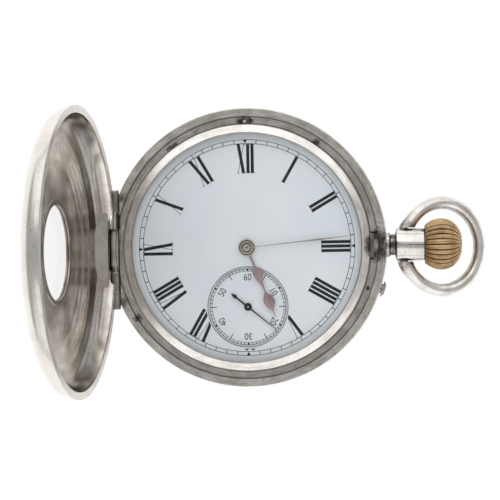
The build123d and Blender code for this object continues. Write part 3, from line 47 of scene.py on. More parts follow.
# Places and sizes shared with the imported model
HINGE_X = -24.1
HINGE_Z = 10.6
LID_OPEN = math.radians(-97.7)
STEM_Z = 7.0
PIVOT_X = 28.6
BOW_DROOP = math.radians(22.5)
SECONDS_AT = (0, -10.8)
DIAL_TOP = 10.4
SECONDS_SINK = 0.3
HOUR_ANGLE = 158.3
MINUTE_ANGLE = 84.4
SECONDS_ANGLE = 129.4
HOUR_LOW = 10.65
MINUTE_LOW = 11.0
SECONDS_LOW = 10.3


# Meshes

def flowing(points, steps=6):
    """More points along a smooth line through the given ones."""
    line = []
    last = len(points) - 1
    for i in range(last):
        p0, p1 = Vector(points[max(i - 1, 0)]), Vector(points[i])
        p2, p3 = Vector(points[i + 1]), Vector(points[min(i + 2, last)])
        for step in range(steps):
            t = step / steps
            line.append(tuple(0.5 * (2 * p1 + (p2 - p0) * t + (2 * p0 - 5 * p1 + 4 * p2 - p3) * t**2
                                     + (3 * p1 - p0 - 3 * p2 + p3) * t**3)))
    line.append(tuple(points[last]))
    return line


def turned(profile, steps=192, bm=None):
    """A closed outline of radius and height spun about the Z axis."""
    new = bmesh.new()
    verts = [new.verts.new((r, 0, z)) for r, z in profile]
    edges = [new.edges.new((verts[i], verts[(i + 1) % len(verts)])) for i in range(len(verts))]
    bmesh.ops.spin(new, geom=verts + edges, axis=(0, 0, 1), cent=(0, 0, 0), angle=math.tau, steps=steps,
                   use_merge=True)
    bmesh.ops.remove_doubles(new, verts=new.verts, dist=1e-5)
    bmesh.ops.delete(new, geom=[e for e in new.edges if not e.link_faces], context="EDGES")
    return merged(bm, new)


def merged(bm, extra):
    """Adds one mesh to another, or starts with it."""
    if bm is None:
        return extra
    carrier = bpy.data.meshes.new("carrier")
    extra.to_mesh(carrier)
    bm.from_mesh(carrier)
    bpy.data.meshes.remove(carrier)
    extra.free()
    return bm


def plate(outline, low, high, bm=None, edge=0.0):
    """A flat piece cut from sheet, its upper edges softened by a width."""
    new = bmesh.new()
    face = new.faces.new([new.verts.new((x, y, low)) for x, y in outline])
    lifted = bmesh.ops.extrude_face_region(new, geom=[face])
    bmesh.ops.translate(new, verts=[v for v in lifted["geom"] if isinstance(v, bmesh.types.BMVert)],
                        vec=(0, 0, high - low))
    bmesh.ops.recalc_face_normals(new, faces=new.faces)
    if edge:
        level = [e for e in new.edges if abs(e.verts[0].co.z - e.verts[1].co.z) < 1e-6]
        rims = [e for e in level if e.verts[0].co.z > low]
        bmesh.ops.bevel(new, geom=rims, offset=edge, segments=2, profile=0.5, affect="EDGES", material=-1,
                        clamp_overlap=True)
    return merged(bm, new)


def bar(p0, p1, radius, steps=32, bm=None):
    """A round bar between two points."""
    new = bmesh.new()
    p0, p1 = Vector(p0), Vector(p1)
    bmesh.ops.create_cone(new, cap_ends=True, segments=steps, radius1=radius, radius2=radius,
                          depth=(p1 - p0).length)
    turn = Vector((0, 0, 1)).rotation_difference(p1 - p0).to_matrix().to_4x4()
    bmesh.ops.transform(new, matrix=Matrix.Translation((p0 + p1) / 2) @ turn, verts=new.verts)
    return merged(bm, new)


def block(low, high, bm=None):
    """A box between two corners."""
    new = bmesh.new()
    low, high = Vector(low), Vector(high)
    bmesh.ops.create_cube(new, size=1)
    size = Matrix.Diagonal((*(high - low), 1))
    bmesh.ops.transform(new, matrix=Matrix.Translation((low + high) / 2) @ size, verts=new.verts)
    return merged(bm, new)


def along_stem(bm, degrees=0):
    """Lays what was made along Z on the stem's axis."""
    place = Matrix.Translation((0, 0, STEM_Z)) @ Matrix.Rotation(math.radians(degrees), 4, "Z")
    bmesh.ops.transform(bm, matrix=place @ Matrix.Rotation(math.pi / 2, 4, "Y"), verts=bm.verts)
    return bm


def opened(bm):
    """Swings what was made on the shut lid back with the lid."""
    hinge = Matrix.Translation((HINGE_X, 0, HINGE_Z))
    swing = hinge @ Matrix.Rotation(LID_OPEN, 4, "Y") @ hinge.inverted()
    bmesh.ops.transform(bm, matrix=swing, verts=bm.verts)
    return bm


def finished(bm, name, body, material, stands_for=(), angle=35):
    """Makes a piece of the mesh, in metres, and says what it rides on and stands for."""
    bmesh.ops.recalc_face_normals(bm, faces=bm.faces)
    bmesh.ops.scale(bm, vec=(MM, MM, MM), verts=bm.verts)
    mesh = bpy.data.meshes.new(name)
    bm.to_mesh(mesh)
    bm.free()
    return settled(mesh, name, body, material, stands_for, angle)


def settled(mesh, name, body, material, stands_for, angle):
    """Puts a mesh on the scene as a named piece with smooth faces and sharp corners."""
    mesh.shade_smooth()
    mesh.set_sharp_from_angle(angle=math.radians(angle))
    mesh.materials.clear()
    mesh.materials.append(material)
    piece = bpy.data.objects.new(name, mesh)
    bpy.context.scene.collection.objects.link(piece)
    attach(piece, body)
    if stands_for:
        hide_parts(*stands_for)
    return piece


def cut(piece, cutter, operation="DIFFERENCE"):
    """Takes one mesh away from a piece for good, or keeps only what lies inside it.

    What is kept may be made of forms that run into each other.
    """
    bmesh.ops.recalc_face_normals(cutter, faces=cutter.faces)
    bmesh.ops.scale(cutter, vec=(MM, MM, MM), verts=cutter.verts)
    mesh = bpy.data.meshes.new("cutter")
    cutter.to_mesh(mesh)
    cutter.free()
    tool = bpy.data.objects.new("cutter", mesh)
    bpy.context.scene.collection.objects.link(tool)
    taken = piece.modifiers.new("cut", "BOOLEAN")
    taken.operation = operation
    taken.solver = "EXACT"
    taken.use_self = operation == "INTERSECT"
    taken.object = tool
    depsgraph = bpy.context.evaluated_depsgraph_get()
    made = bpy.data.meshes.new_from_object(piece.evaluated_get(depsgraph))
    piece.modifiers.clear()
    old = piece.data
    piece.data = made
    bpy.data.meshes.remove(old)
    bpy.data.objects.remove(tool)
    bpy.data.meshes.remove(mesh)
    return piece


def soften(piece, width, segments=2, angle=35, harden=False):
    """Rounds the sharp edges of a piece by a width in millimetres."""
    soft = piece.modifiers.new("soft_edges", "BEVEL")
    soft.width = width * MM
    soft.segments = segments
    soft.limit_method = "ANGLE"
    soft.angle_limit = math.radians(angle)
    soft.harden_normals = harden


def smooth_copy(node, name, body, material, angle=35, rounding=0.0):
    """Stands for a node with the same shape, its curved faces smooth and its edges softened."""
    mesh = frame["nodes"][node].data.copy()
    bm = bmesh.new()
    bm.from_mesh(mesh)
    bmesh.ops.remove_doubles(bm, verts=bm.verts, dist=2e-6)
    bmesh.ops.dissolve_limit(bm, angle_limit=math.radians(1), verts=bm.verts, edges=bm.edges)
    bm.to_mesh(mesh)
    bm.free()
    mesh.name = name
    piece = settled(mesh, name, body, material, (node,), angle)
    if rounding:
        soften(piece, rounding, 2, angle, True)
    return piece


# Materials

def srgb(text):
    """An sRGB hex colour as linear light."""
    parts = [int(text[i:i + 2], 16) / 255 for i in (1, 3, 5)]
    return (*[c / 12.92 if c <= 0.04045 else ((c + 0.055) / 1.055) ** 2.4 for c in parts], 1)


def add(tree, kind, settings=None, stops=(), **inputs):
    """Adds a node.

    A colour ramp has two stops, each a pair of place and colour. An input is named, or n and its number. It
    is a value, or another node's output as a pair of node and name.
    """
    node = tree.nodes.new(kind)
    for key, value in (settings or {}).items():
        setattr(node, key, value)
    for i, (at, colour) in enumerate(stops):
        node.color_ramp.elements[i].position = at
        node.color_ramp.elements[i].color = colour
    for key, value in inputs.items():
        numbered = key[0] == "n" and key[1:].isdigit()
        socket = node.inputs[int(key[1:]) if numbered else key.replace("_", " ")]
        if isinstance(value, tuple) and isinstance(value[0], bpy.types.Node):
            tree.links.new(value[0].outputs[value[1]], socket)
        else:
            socket.default_value = value
    return node


def started(name):
    """An empty material with its output, and its shader."""
    material = bpy.data.materials.new(name)
    material.use_nodes = True
    tree = material.node_tree
    tree.nodes.clear()
    shader = add(tree, "ShaderNodeBsdfPrincipled")
    add(tree, "ShaderNodeOutputMaterial", Surface=(shader, "BSDF"))
    return material, tree, shader


def grey(value):
    return (value, value, value, 1)


def per_metre(size_mm):
    """Scale of a pattern whose features are that many millimetres apart."""
    return 1000 / size_mm


# A colour laid over another by a share of 0 to 1, as a stain, and one multiplied by another, as a shade
LAID_OVER = {"data_type": "RGBA"}
MULTIPLIED = {"data_type": "RGBA", "blend_type": "MULTIPLY"}


def worn_metal(name, light, dark, rough, depth, turned_mm=0.0, pits=0.5, dirt_and_shade=(), polish_and_shade_rings=(), painted_reflections=(),
               lid=False):
    """Soft metal that was polished and then carried: faint tarnish, pits, hairlines, and dirt and painted
    shade in the corners.

    dirt_and_shade is spots of x, y, z and size, darkened partly as dirt and partly as painted shade.
    polish_and_shade_rings are dark rings of radius, width and strength, partly old polish and partly painted
    shade, and painted_reflections dark ovals of middle, half lengths and strength that stand for dark things
    mirrored in a hollow, both on turned metal. All but the strengths are in millimetres.
    """
    material, tree, shader = started(name)
    where = (add(tree, "ShaderNodeTexCoord"), "Object")
    # Tarnish lies in faint patches of several millimetres
    patches = add(tree, "ShaderNodeTexNoise", Vector=where, Scale=per_metre(5), Detail=8, Roughness=0.7)
    shade = add(tree, "ShaderNodeValToRGB", Fac=(patches, "Fac"),
                stops=((0.36, srgb(dark)), (0.58, srgb(light))))
    # Specks and pits a few tenths of a millimetre across
    specks = add(tree, "ShaderNodeTexNoise", Vector=where, Scale=per_metre(0.55), Detail=4, Roughness=0.65)
    holes = add(tree, "ShaderNodeValToRGB", Fac=(specks, "Fac"), stops=((0.31, grey(0.25)), (0.37, grey(1))))
    last = (add(tree, "ShaderNodeMix", MULTIPLIED, n0=pits, n6=(shade, "Color"), n7=(holes, "Color")), 2)
    # Hairlines run every way over dents too shallow to see but in the reflections
    stretch = add(tree, "ShaderNodeMapping", Vector=where, Rotation=(0.4, 0.9, 0.7), Scale=(1, 14, 3))
    lines = add(tree, "ShaderNodeTexNoise", Vector=(stretch, "Vector"), Scale=per_metre(1.6), Detail=8,
                Roughness=0.7)
    dents = add(tree, "ShaderNodeTexNoise", Vector=where, Scale=per_metre(4.5), Detail=2, Roughness=0.5)
    height = add(tree, "ShaderNodeMath", {"operation": "MULTIPLY_ADD"},
                 n0=(lines, "Fac"), n1=0.35, n2=(dents, "Fac"))
    if turned_mm:
        spun = where
        if lid:
            # The open lid was spun about its own axis, so the marks are laid out as if it were shut
            hinge = Vector((HINGE_X * MM, 0, HINGE_Z * MM))
            shut = hinge - Matrix.Rotation(-LID_OPEN, 3, "Y") @ hinge
            closed = add(tree, "ShaderNodeMapping", Vector=where, Rotation=(0, -LID_OPEN, 0), Location=shut)
            spun = (closed, "Vector")
        parts = add(tree, "ShaderNodeSeparateXYZ", Vector=spun)
        flat = add(tree, "ShaderNodeVectorMath", {"operation": "MULTIPLY"}, n0=spun, n1=(1, 1, 0))
        reach = add(tree, "ShaderNodeVectorMath", {"operation": "LENGTH"}, n0=(flat, "Vector"))
        turn = add(tree, "ShaderNodeMath", {"operation": "ARCTAN2"}, n0=(parts, "Y"), n1=(parts, "X"))
        # Streaks follow the circle: several millimetres long and a fraction of one wide
        drawn = add(tree, "ShaderNodeMath", {"operation": "MULTIPLY"}, n0=(turn, "Value"), n1=0.004)
        laid = add(tree, "ShaderNodeCombineXYZ", X=(reach, "Value"), Y=(drawn, "Value"), Z=(parts, "Z"))
        rings = add(tree, "ShaderNodeTexNoise", Vector=(laid, "Vector"), Scale=per_metre(turned_mm), Detail=6,
                    Roughness=0.65)
        height = add(tree, "ShaderNodeMath", {"operation": "MULTIPLY_ADD"},
                     n0=(rings, "Fac"), n1=1.6, n2=(height, "Value"))
        rubbed = add(tree, "ShaderNodeValToRGB", Fac=(rings, "Fac"),
                     stops=((0.36, grey(0.62)), (0.56, grey(1))))
        last = (add(tree, "ShaderNodeMix", MULTIPLIED, n0=0.7, n6=last, n7=(rubbed, "Color")), 2)
        for at, width, strength in polish_and_shade_rings:
            # A dark line in each turned corner, partly old polish and partly painted shade, which also dulls
            # the deeper turns
            off = add(tree, "ShaderNodeMath", {"operation": "SUBTRACT"}, n0=(reach, "Value"), n1=at * MM)
            near = add(tree, "ShaderNodeMath", {"operation": "ABSOLUTE"}, n0=(off, "Value"))
            line = add(tree, "ShaderNodeMapRange", Value=(near, "Value"),
                       n1=width * MM * 0.3, n2=width * MM, n3=strength, n4=0.0)
            last = (add(tree, "ShaderNodeMix", LAID_OVER, n0=(line, 0), n6=last, n7=srgb("#4b433c")), 2)
        for (x, y), (wide, long), strength in painted_reflections:
            # Two dark crescents, one on each side: painted reflections of the dark band and hinge that the
            # hollow mirrors
            side = add(tree, "ShaderNodeMath", {"operation": "ABSOLUTE"}, n0=(parts, "Y"))
            either = add(tree, "ShaderNodeCombineXYZ", X=(parts, "X"), Y=(side, "Value"))
            off = add(tree, "ShaderNodeVectorMath", {"operation": "SUBTRACT"},
                      n0=(either, "Vector"), n1=(x * MM, y * MM, 0))
            share = add(tree, "ShaderNodeVectorMath", {"operation": "DIVIDE"},
                        n0=(off, "Vector"), n1=(wide * MM, long * MM, 1))
            away = add(tree, "ShaderNodeVectorMath", {"operation": "LENGTH"}, n0=(share, "Vector"))
            painted_reflection_share = add(tree, "ShaderNodeMapRange", {"interpolation_type": "SMOOTHSTEP"},
                            Value=(away, "Value"), n1=0.0, n2=1.1, n3=strength, n4=0.0)
            last = (add(tree, "ShaderNodeMix", LAID_OVER,
                        n0=(painted_reflection_share, 0), n6=last, n7=srgb("#4a4038")), 2)
    for x, y, z, size in dirt_and_shade:
        # Dark spots around the catch, the hinge and the pins: partly old polish and dust, partly painted
        # shade in the gaps between parts
        gap = add(tree, "ShaderNodeVectorMath", {"operation": "DISTANCE"},
                  n0=where, n1=(x * MM, y * MM, z * MM))
        ragged = add(tree, "ShaderNodeMath", {"operation": "MULTIPLY_ADD"},
                     n0=(specks, "Fac"), n1=size * MM, n2=(gap, "Value"))
        dirt_and_shade_share = add(tree, "ShaderNodeMapRange", Value=(ragged, "Value"),
                   n1=size * MM * 0.85, n2=size * MM * 1.35, n3=0.88, n4=0.0)
        last = (add(tree, "ShaderNodeMix", LAID_OVER, n0=(dirt_and_shade_share, 0), n6=last, n7=srgb("#2f2823")), 2)
    tree.links.new(last[0].outputs[last[1]], shader.inputs["Base Color"])
    gloss = add(tree, "ShaderNodeMapRange", Value=(patches, "Fac"),
                n1=0.3, n2=0.7, n3=rough * 1.15, n4=rough * 0.9)
    tree.links.new(gloss.outputs[0], shader.inputs["Roughness"])
    shader.inputs["Metallic"].default_value = 1
    bump = add(tree, "ShaderNodeBump", Strength=depth, Distance=0.0001, Height=(height, "Value"))
    tree.links.new(bump.outputs["Normal"], shader.inputs["Normal"])
    return material


def plain_metal(name, light, dark, rough, grain_mm, depth):
    """Finished movement metal: an even colour with a fine frosted or grained face."""
    material, tree, shader = started(name)
    where = (add(tree, "ShaderNodeTexCoord"), "Object")
    cloud = add(tree, "ShaderNodeTexNoise", Vector=where, Scale=per_metre(6), Detail=4, Roughness=0.6)
    shade = add(tree, "ShaderNodeValToRGB", Fac=(cloud, "Fac"),
                stops=((0.35, srgb(dark)), (0.6, srgb(light))))
    tree.links.new(shade.outputs["Color"], shader.inputs["Base Color"])
    grain = add(tree, "ShaderNodeTexNoise", Vector=where, Scale=per_metre(grain_mm), Detail=3,
                Roughness=0.6)
    gloss = add(tree, "ShaderNodeMapRange", Value=(grain, "Fac"),
                n1=0.3, n2=0.7, n3=rough * 0.8, n4=rough * 1.25)
    tree.links.new(gloss.outputs[0], shader.inputs["Roughness"])
    shader.inputs["Metallic"].default_value = 1
    bump = add(tree, "ShaderNodeBump", Strength=depth, Distance=0.00005, Height=(grain, "Fac"))
    tree.links.new(bump.outputs["Normal"], shader.inputs["Normal"])
    return material


def clear(name, colour, ior):
    """Clear glass or ruby that lets light through to what lies under it."""
    material, tree, shader = started(name)
    shader.inputs["Base Color"].default_value = srgb(colour)
    shader.inputs["Roughness"].default_value = 0.0
    shader.inputs["IOR"].default_value = ior
    shader.inputs["Transmission Weight"].default_value = 1
    through = add(tree, "ShaderNodeBsdfTransparent", Color=srgb(colour))
    path = add(tree, "ShaderNodeLightPath")
    mixed = add(tree, "ShaderNodeMixShader", Fac=(path, "Is Shadow Ray"),
                n1=(shader, "BSDF"), n2=(through, "BSDF"))
    output = next(n for n in tree.nodes if n.type == "OUTPUT_MATERIAL")
    tree.links.new(mixed.outputs[0], output.inputs["Surface"])
    return material


def enamel():
    """Fired white enamel: a cool white, glassy, with the faintest clouding and orange peel."""
    material, tree, shader = started("white_enamel")
    where = (add(tree, "ShaderNodeTexCoord"), "Object")
    cloud = add(tree, "ShaderNodeTexNoise", Vector=where, Scale=per_metre(14), Detail=3, Roughness=0.5)
    shade = add(tree, "ShaderNodeValToRGB", Fac=(cloud, "Fac"),
                stops=((0.35, srgb("#dfe2e8")), (0.65, srgb("#e6e8ec"))))
    tree.links.new(shade.outputs["Color"], shader.inputs["Base Color"])
    shader.inputs["Roughness"].default_value = 0.12
    shader.inputs["Coat Weight"].default_value = 0.3
    shader.inputs["Coat Roughness"].default_value = 0.05
    bump = add(tree, "ShaderNodeBump", Strength=0.05, Distance=0.0001, Height=(cloud, "Fac"))
    tree.links.new(bump.outputs["Normal"], shader.inputs["Normal"])
    return material


def printed(name, colour, thin):
    """Fired enamel paint, dense and slightly glossy, a little unevenly laid on."""
    material, tree, shader = started(name)
    where = (add(tree, "ShaderNodeTexCoord"), "Object")
    cloud = add(tree, "ShaderNodeTexNoise", Vector=where, Scale=per_metre(0.8), Detail=3, Roughness=0.5)
    shade = add(tree, "ShaderNodeValToRGB", Fac=(cloud, "Fac"),
                stops=((0.3, srgb(colour)), (0.7, srgb(thin))))
    tree.links.new(shade.outputs["Color"], shader.inputs["Base Color"])
    shader.inputs["Roughness"].default_value = 0.5
    shader.inputs["Specular IOR Level"].default_value = 0.15
    return material


# Silver, polished when new and carried for decades: a warm white sheen that hairlines and tarnish break up
silver = worn_metal("worn_silver", "#d6d2cc", "#cac5be", 0.22, 0.20, pits=0.6)
# Where the band is darkened, partly by old polish and dust and partly as painted shade in its gaps, notches
# and at the hinge: the x, y, z and size of each spot
BAND_DIRT_AND_SHADE = (
    (24.0, 1.1, 10.0, 3.0), (24.0, -1.1, 10.0, 3.0), (25.4, 0, 8.6, 2.4),
    (0.1, 23.1, 10.0, 1.6), (1.1, 23.1, 10.0, 0.9), (-0.9, 23.1, 10.0, 1.0),
    (-22.9, 9.5, 10.0, 1.5), (-22.9, -9.5, 10.0, 1.7), (-24.4, 3.9, 10.8, 1.7), (-24.4, -3.8, 10.8, 1.5),
    (-20.2, -12.6, 10.2, 1.3), (21.9, -7.8, 9.8, 0.6), (11.3, 20.9, 10.2, 0.5), (13.0, 18.9, 9.8, 1.1),
    (-12.7, 19.2, 9.8, 0.4), (-13.2, 18.8, 9.8, 0.55), (-13.7, 18.5, 9.8, 0.55), (-14.2, 18.1, 9.8, 0.4))
# Darkened spots on the neck's waist and round the bow's ends: partly dirt, partly painted shade where the
# parts meet
NECK_DIRT_AND_SHADE = (
    (26.8, 0, 8.9, 1.8), (26.8, 1.6, 7.8, 1.8), (26.8, -1.6, 7.8, 1.8),
    (29.4, 3.1, 7.0, 1.5), (29.4, -3.1, 7.0, 1.5), (32.4, 2.6, 8.4, 1.0))
# Darkened spots round the catch's slot: partly dirt, partly painted shade in the slot
CATCH_DIRT_AND_SHADE = ((23.2, 2.1, 10.2, 2.6), (23.2, -2.1, 10.2, 2.6))
# Turned silver keeps its lathe's circles, which catch the light as fine streaks along the rim
# On the band, the dark rings at the lip's inner edge and by the bezel are partly old polish and partly
# painted shade
silver_band = worn_metal("turned_silver", "#dad6d0", "#b9b2a9", 0.24, 0.22, turned_mm=0.5, pits=0.8,
                         polish_and_shade_rings=((23.9, 0.16, 0.7), (22.6, 0.2, 0.7), (23.2, 1.0, 0.2)), dirt_and_shade=BAND_DIRT_AND_SHADE)
# The lid's hollow is hardly touched: it still mirrors the room in rings. Its two dark crescents are painted
# reflections and its dark lines by the rim painted shade
silver_hollow = worn_metal("polished_silver_hollow", "#f0eae3", "#cfc6bc", 0.12, 0.32, turned_mm=2.6,
                           pits=0.7, lid=True, polish_and_shade_rings=((23.4, 0.7, 0.6), (22.7, 0.3, 0.35)),
                           painted_reflections=(((-6.0, 12.4), (5.0, 7.0), 0.75),))
# On the bezel, the dark lines at the crystal's edge and the outer rim are partly old polish and partly
# painted shade, and the darkening by the catch partly dirt and partly painted shade
silver_polished = worn_metal("polished_silver", "#ece8e3", "#dad4cd", 0.30, 0.14, turned_mm=0.8, pits=0.4,
                             polish_and_shade_rings=((20.93, 0.15, 0.7), (22.45, 0.14, 0.6)),
                             dirt_and_shade=((22.5, 0.7, 11.0, 2.0), (22.5, -0.7, 11.0, 2.0)))
# Where no cloth reaches, in the window's frame and at the hinge, silver is grey and dull
silver_frame = worn_metal("window_frame_silver", "#a39a90", "#7a7168", 0.22, 0.2, pits=0.8)
silver_fill = worn_metal("hinge_fill_silver", "#bdb6ae", "#a0978f", 0.24, 0.2, pits=0.6)
silver_hinge = worn_metal("hinge_silver", "#a69e96", "#6f665e", 0.28, 0.25, pits=0.9)
# Neck and bow are rubbed bright by the hand; where they meet, darkened spots are partly dirt and partly
# painted shadow
silver_neck = worn_metal("worn_silver_neck", "#e2deda", "#bfb8b0", 0.20, 0.15, dirt_and_shade=NECK_DIRT_AND_SHADE)
silver_bow = worn_metal("worn_silver_bow", "#e4e0dc", "#bfb9b2", 0.25, 0.25, pits=0.7, dirt_and_shade=(
    (29.3, 3.0, 6.9, 2.2), (29.2, -3.0, 6.9, 2.2)))
# Gilding worn thin by winding: a dull gold, brown in the flutes
gilt = worn_metal("worn_gilt", "#bfa37d", "#8f7150", 0.38, 0.4, pits=0.9)
gilt_groove = worn_metal("gilt_groove", "#7a5e3f", "#4f3b29", 0.55, 0.3)
# Rose gold hands, cut from thin sheet: a pinkish satin, and paler on the rounded bosses
rose = worn_metal("rose_gold", "#bfa6a6", "#967f81", 0.34, 0.12)
rose_pale = worn_metal("pale_rose_gold", "#c3bbb7", "#958d89", 0.34, 0.10)
boss_metal = worn_metal("worn_boss_gold", "#e6dccf", "#bdae9d", 0.24, 0.15)
# A dark brown laid in the bosses' sunk rings and on the painted reflection strip along the pendant's sleeve
dark_groove_and_reflection = worn_metal("dark_groove_and_painted_reflection", "#75665a", "#51453c", 0.5, 0.2)
# The catch is steel with its polish worn off; round its slot it is darkened, partly by dirt and partly by
# painted shade
catch_metal = worn_metal("worn_catch", "#b5aba1", "#71675e", 0.3, 0.4, pits=1.0, dirt_and_shade=CATCH_DIRT_AND_SHADE)
# Ground steel: the grain is finer than the picture can show, so it only spreads the shine
steel = plain_metal("grained_steel", "#c8c6c3", "#aaa8a5", 0.24, 0.25, 0.1)
spring_steel = plain_metal("spring_steel", "#9fa3aa", "#767a81", 0.2, 0.3, 0.1)
aged_steel = plain_metal("aged_spring_steel", "#c2bab3", "#857b73", 0.28, 0.4, 0.3)
# Steel heated until it turns blue, nearly black from above
blued = plain_metal("blued_steel", "#1d2230", "#12141b", 0.25, 0.3, 0.1)
# Brass gilded on a frosted ground: an even, warm yellow without mirrors
brass = plain_metal("frosted_gilt_brass", "#e0bd78", "#c59d57", 0.38, 0.12, 0.3)
# Clear glass, so thin that it hardly shifts what lies under it: its index is set below real glass's 1.5
glass = clear("clear_glass", "#fbfdfd", 1.32)
window_glass = clear("thin_window_glass", "#ffffff", 1.12)
ruby = clear("ruby", "#b8203a", 1.76)
white_enamel = enamel()
black_print = printed("black_dial_print", "#08090b", "#131418")
blue_print = printed("blue_lid_enamel", "#182a5c", "#24386e")

by_slot = {"silver": silver, "crown_gold": gilt, "glass": glass, "spring_steel": spring_steel, "steel": steel,
           "gilt_brass": brass, "ruby": ruby, "enamel": white_enamel, "rose_gold": rose, "blued_steel": blued}
for part in frame["record"]["subparts"]:
    node = frame["nodes"][part["node"]]
    node.data.materials.clear()
    node.data.materials.append(by_slot[part["material_slot"]])
for name, other in (("catch_spring", catch_metal), ("lift_spring", aged_steel), ("push_piece", silver_hinge)):
    frame["nodes"][name].data.materials[0] = other
frame["nodes"]["lid_window_glass"].data.materials[0] = window_glass


# Front lid

# The shut lid's section: radius and height
OUTER_LID = [(25.35, 10.63), (25.35, 11.35), (24.95, 12.7), (23.88, 13.8), (22.09, 14.65), (19.16, 15.25),
             (14.59, 15.52), (9.05, 15.6)]
# The spun hollow is never quite even: shallow waves break up what it mirrors
INNER_LID = [(9.05, 14.9), (12.0, 14.86), (14.0, 14.84), (15.9, 14.68), (17.4, 14.60), (18.9, 14.38),
             (20.1, 14.20), (21.3, 13.80), (22.3, 13.36), (23.3, 12.48), (23.98, 11.1)]
# Where the lid's two knuckles lie along the hinge
LID_KNUCKLES = ((-10.9, -3.9), (6.75, 10.9))
KNUCKLE_RADIUS = 0.85


def wedge(face, y0, y1, bm=None):
    """A piece with one outline of X and Z all along Y."""
    new = bmesh.new()
    ends = [[new.verts.new((x, y, z)) for x, z in face] for y in (y0, y1)]
    for end in ends:
        new.faces.new(end)
    for i in range(len(face)):
        new.faces.new((ends[0][i - 1], ends[0][i], ends[1][i], ends[1][i - 1]))
    bmesh.ops.recalc_face_normals(new, faces=new.faces)
    return merged(bm, new)


def hollow_faces(mesh, other):
    """Gives the faces that look into the hollow of the open lid a material of their own."""
    mesh.materials.append(other)
    back = Matrix.Rotation(-LID_OPEN, 3, "Y")
    hinge = Vector((HINGE_X * MM, 0, HINGE_Z * MM))
    for face in mesh.polygons:
        normal, at = back @ face.normal, back @ (face.center - hinge) + hinge
        outward = (normal.x * at.x + normal.y * at.y) / math.hypot(at.x, at.y)
        if outward + normal.z < 0 and at.z > 10.7 * MM:
            face.material_index = 1


def front_lid():
    section = [OUTER_LID[0], (25.33, 10.66), *flowing(OUTER_LID[1:], 8), *flowing(INNER_LID, 8),
               (24.0, 10.67), (24.04, 10.63)]
    bm = opened(turned(section, 256))
    shell = finished(bm, "lid_shell", "front_lid", silver, ("front_lid",), 28)
    # Room in the rim for the hinge, and behind it for the knuckles when the lid is open
    cut(shell, opened(block((-29, -11, 10.0), (-23.17, 11, 11.6))))
    cut(shell, opened(block((-29, -11, 10.0), (-24.95, 11, 12.1))))
    shell.data.set_sharp_from_angle(angle=math.radians(28))
    hollow_faces(shell.data, silver_hollow)
    # Fill above the hinge and the roots of the knuckles, inside the lid's outer form
    bm = wedge([(-24.9, 11.62), (-22.8, 11.62), (-21.3, 14.0), (-24.9, 14.0)], -8.5, 8.5)
    for y0, y1 in LID_KNUCKLES:
        bm = wedge([(-24.9, 10.7), (-23.17, 10.7), (-23.17, 12.3), (-24.9, 12.3)], y0, y1, bm)
    fill = finished(opened(bm), "lid_hinge_fill", "front_lid", silver_fill)
    skin = 0.04
    within = [(0, 10.65), *[(r - skin, z) for r, z in flowing(OUTER_LID[1:], 8)], (0, 15.56)]
    cut(fill, opened(turned(within, 256)), "INTERSECT")
    fill.data.set_sharp_from_angle(angle=math.radians(28))
    bm = None
    for y0, y1 in LID_KNUCKLES:
        bm = bar((HINGE_X, y0, HINGE_Z), (HINGE_X, y1, HINGE_Z), KNUCKLE_RADIUS, 40, bm)
    knuckles = finished(opened(bm), "lid_knuckles", "front_lid", silver_hinge)
    soften(knuckles, 0.22, 3)


def lid_figures():
    """Blue enamel numerals let into the outside of the lid round its window."""
    low = 15.46
    bm = None
    for hour, text in NUMERALS.items():
        bm = numeral(bm, text, hour * 30, 11.0, 13.7, low, 15.63, weight=0.62)
    bm = annulus(bm, 10.6, 0.1, low, 15.62)
    bm = annulus(bm, 14.1, 0.1, low, 15.59)
    finished(opened(bm), "lid_figures", "front_lid", blue_print)


front_lid()
smooth_copy("lid_window_ring", "window_frame", "front_lid", silver_frame)
smooth_copy("case_band", "band", "case", silver_band, 30, 0.09)
smooth_copy("rear_cover", "back_cover", "rear_cover", silver, 40, 0.05)
smooth_copy("cuvette", "dust_cover", "cuvette", silver, 40, 0.04)
smooth_copy("pendant", "pendant_neck", "case", silver_neck, 30, 0.05)


# Bezel and crystal

def bezel():
    rim = 22.5
    face = [(rim, 10.69), (22.47, 11.15), (22.34, 11.36), (21.65, 11.72), (21.05, 12.04), (20.93, 12.06)]
    low = [(20.85, 12.0), (20.85, 10.95), (22.0, 10.95), (22.0, 9.85), (rim, 9.85)]
    bm = turned(flowing(face, 5) + low, 256)
    piece = finished(bm, "bezel", "bezel", silver_polished, ("front_bezel",), 30)
    # A small round cut for the fingernail that lifts the bezel
    angle, nail, depth = math.radians(55.1), 1.2, 0.45
    reach = rim + nail - depth
    at = (reach * math.cos(angle), reach * math.sin(angle))
    cut(piece, bar((*at, 9.7), (*at, 10.6), nail))
    piece.data.set_sharp_from_angle(angle=math.radians(30))


def crystal():
    over = flowing([(0, 13.3), (7, 13.14), (14, 12.65), (18.5, 12.12), (20.8, 11.86)], 8)
    under = flowing([(20.8, 11.32), (18.5, 11.56), (14, 12.1), (7, 12.59), (0, 12.75)], 8)
    bm = turned([*over, (21.2, 11.84), (21.2, 11.31), *under], 160)
    finished(bm, "watch_glass", "bezel", glass, ("crystal",), 40)


bezel()
crystal()


# Bow, crown and push piece

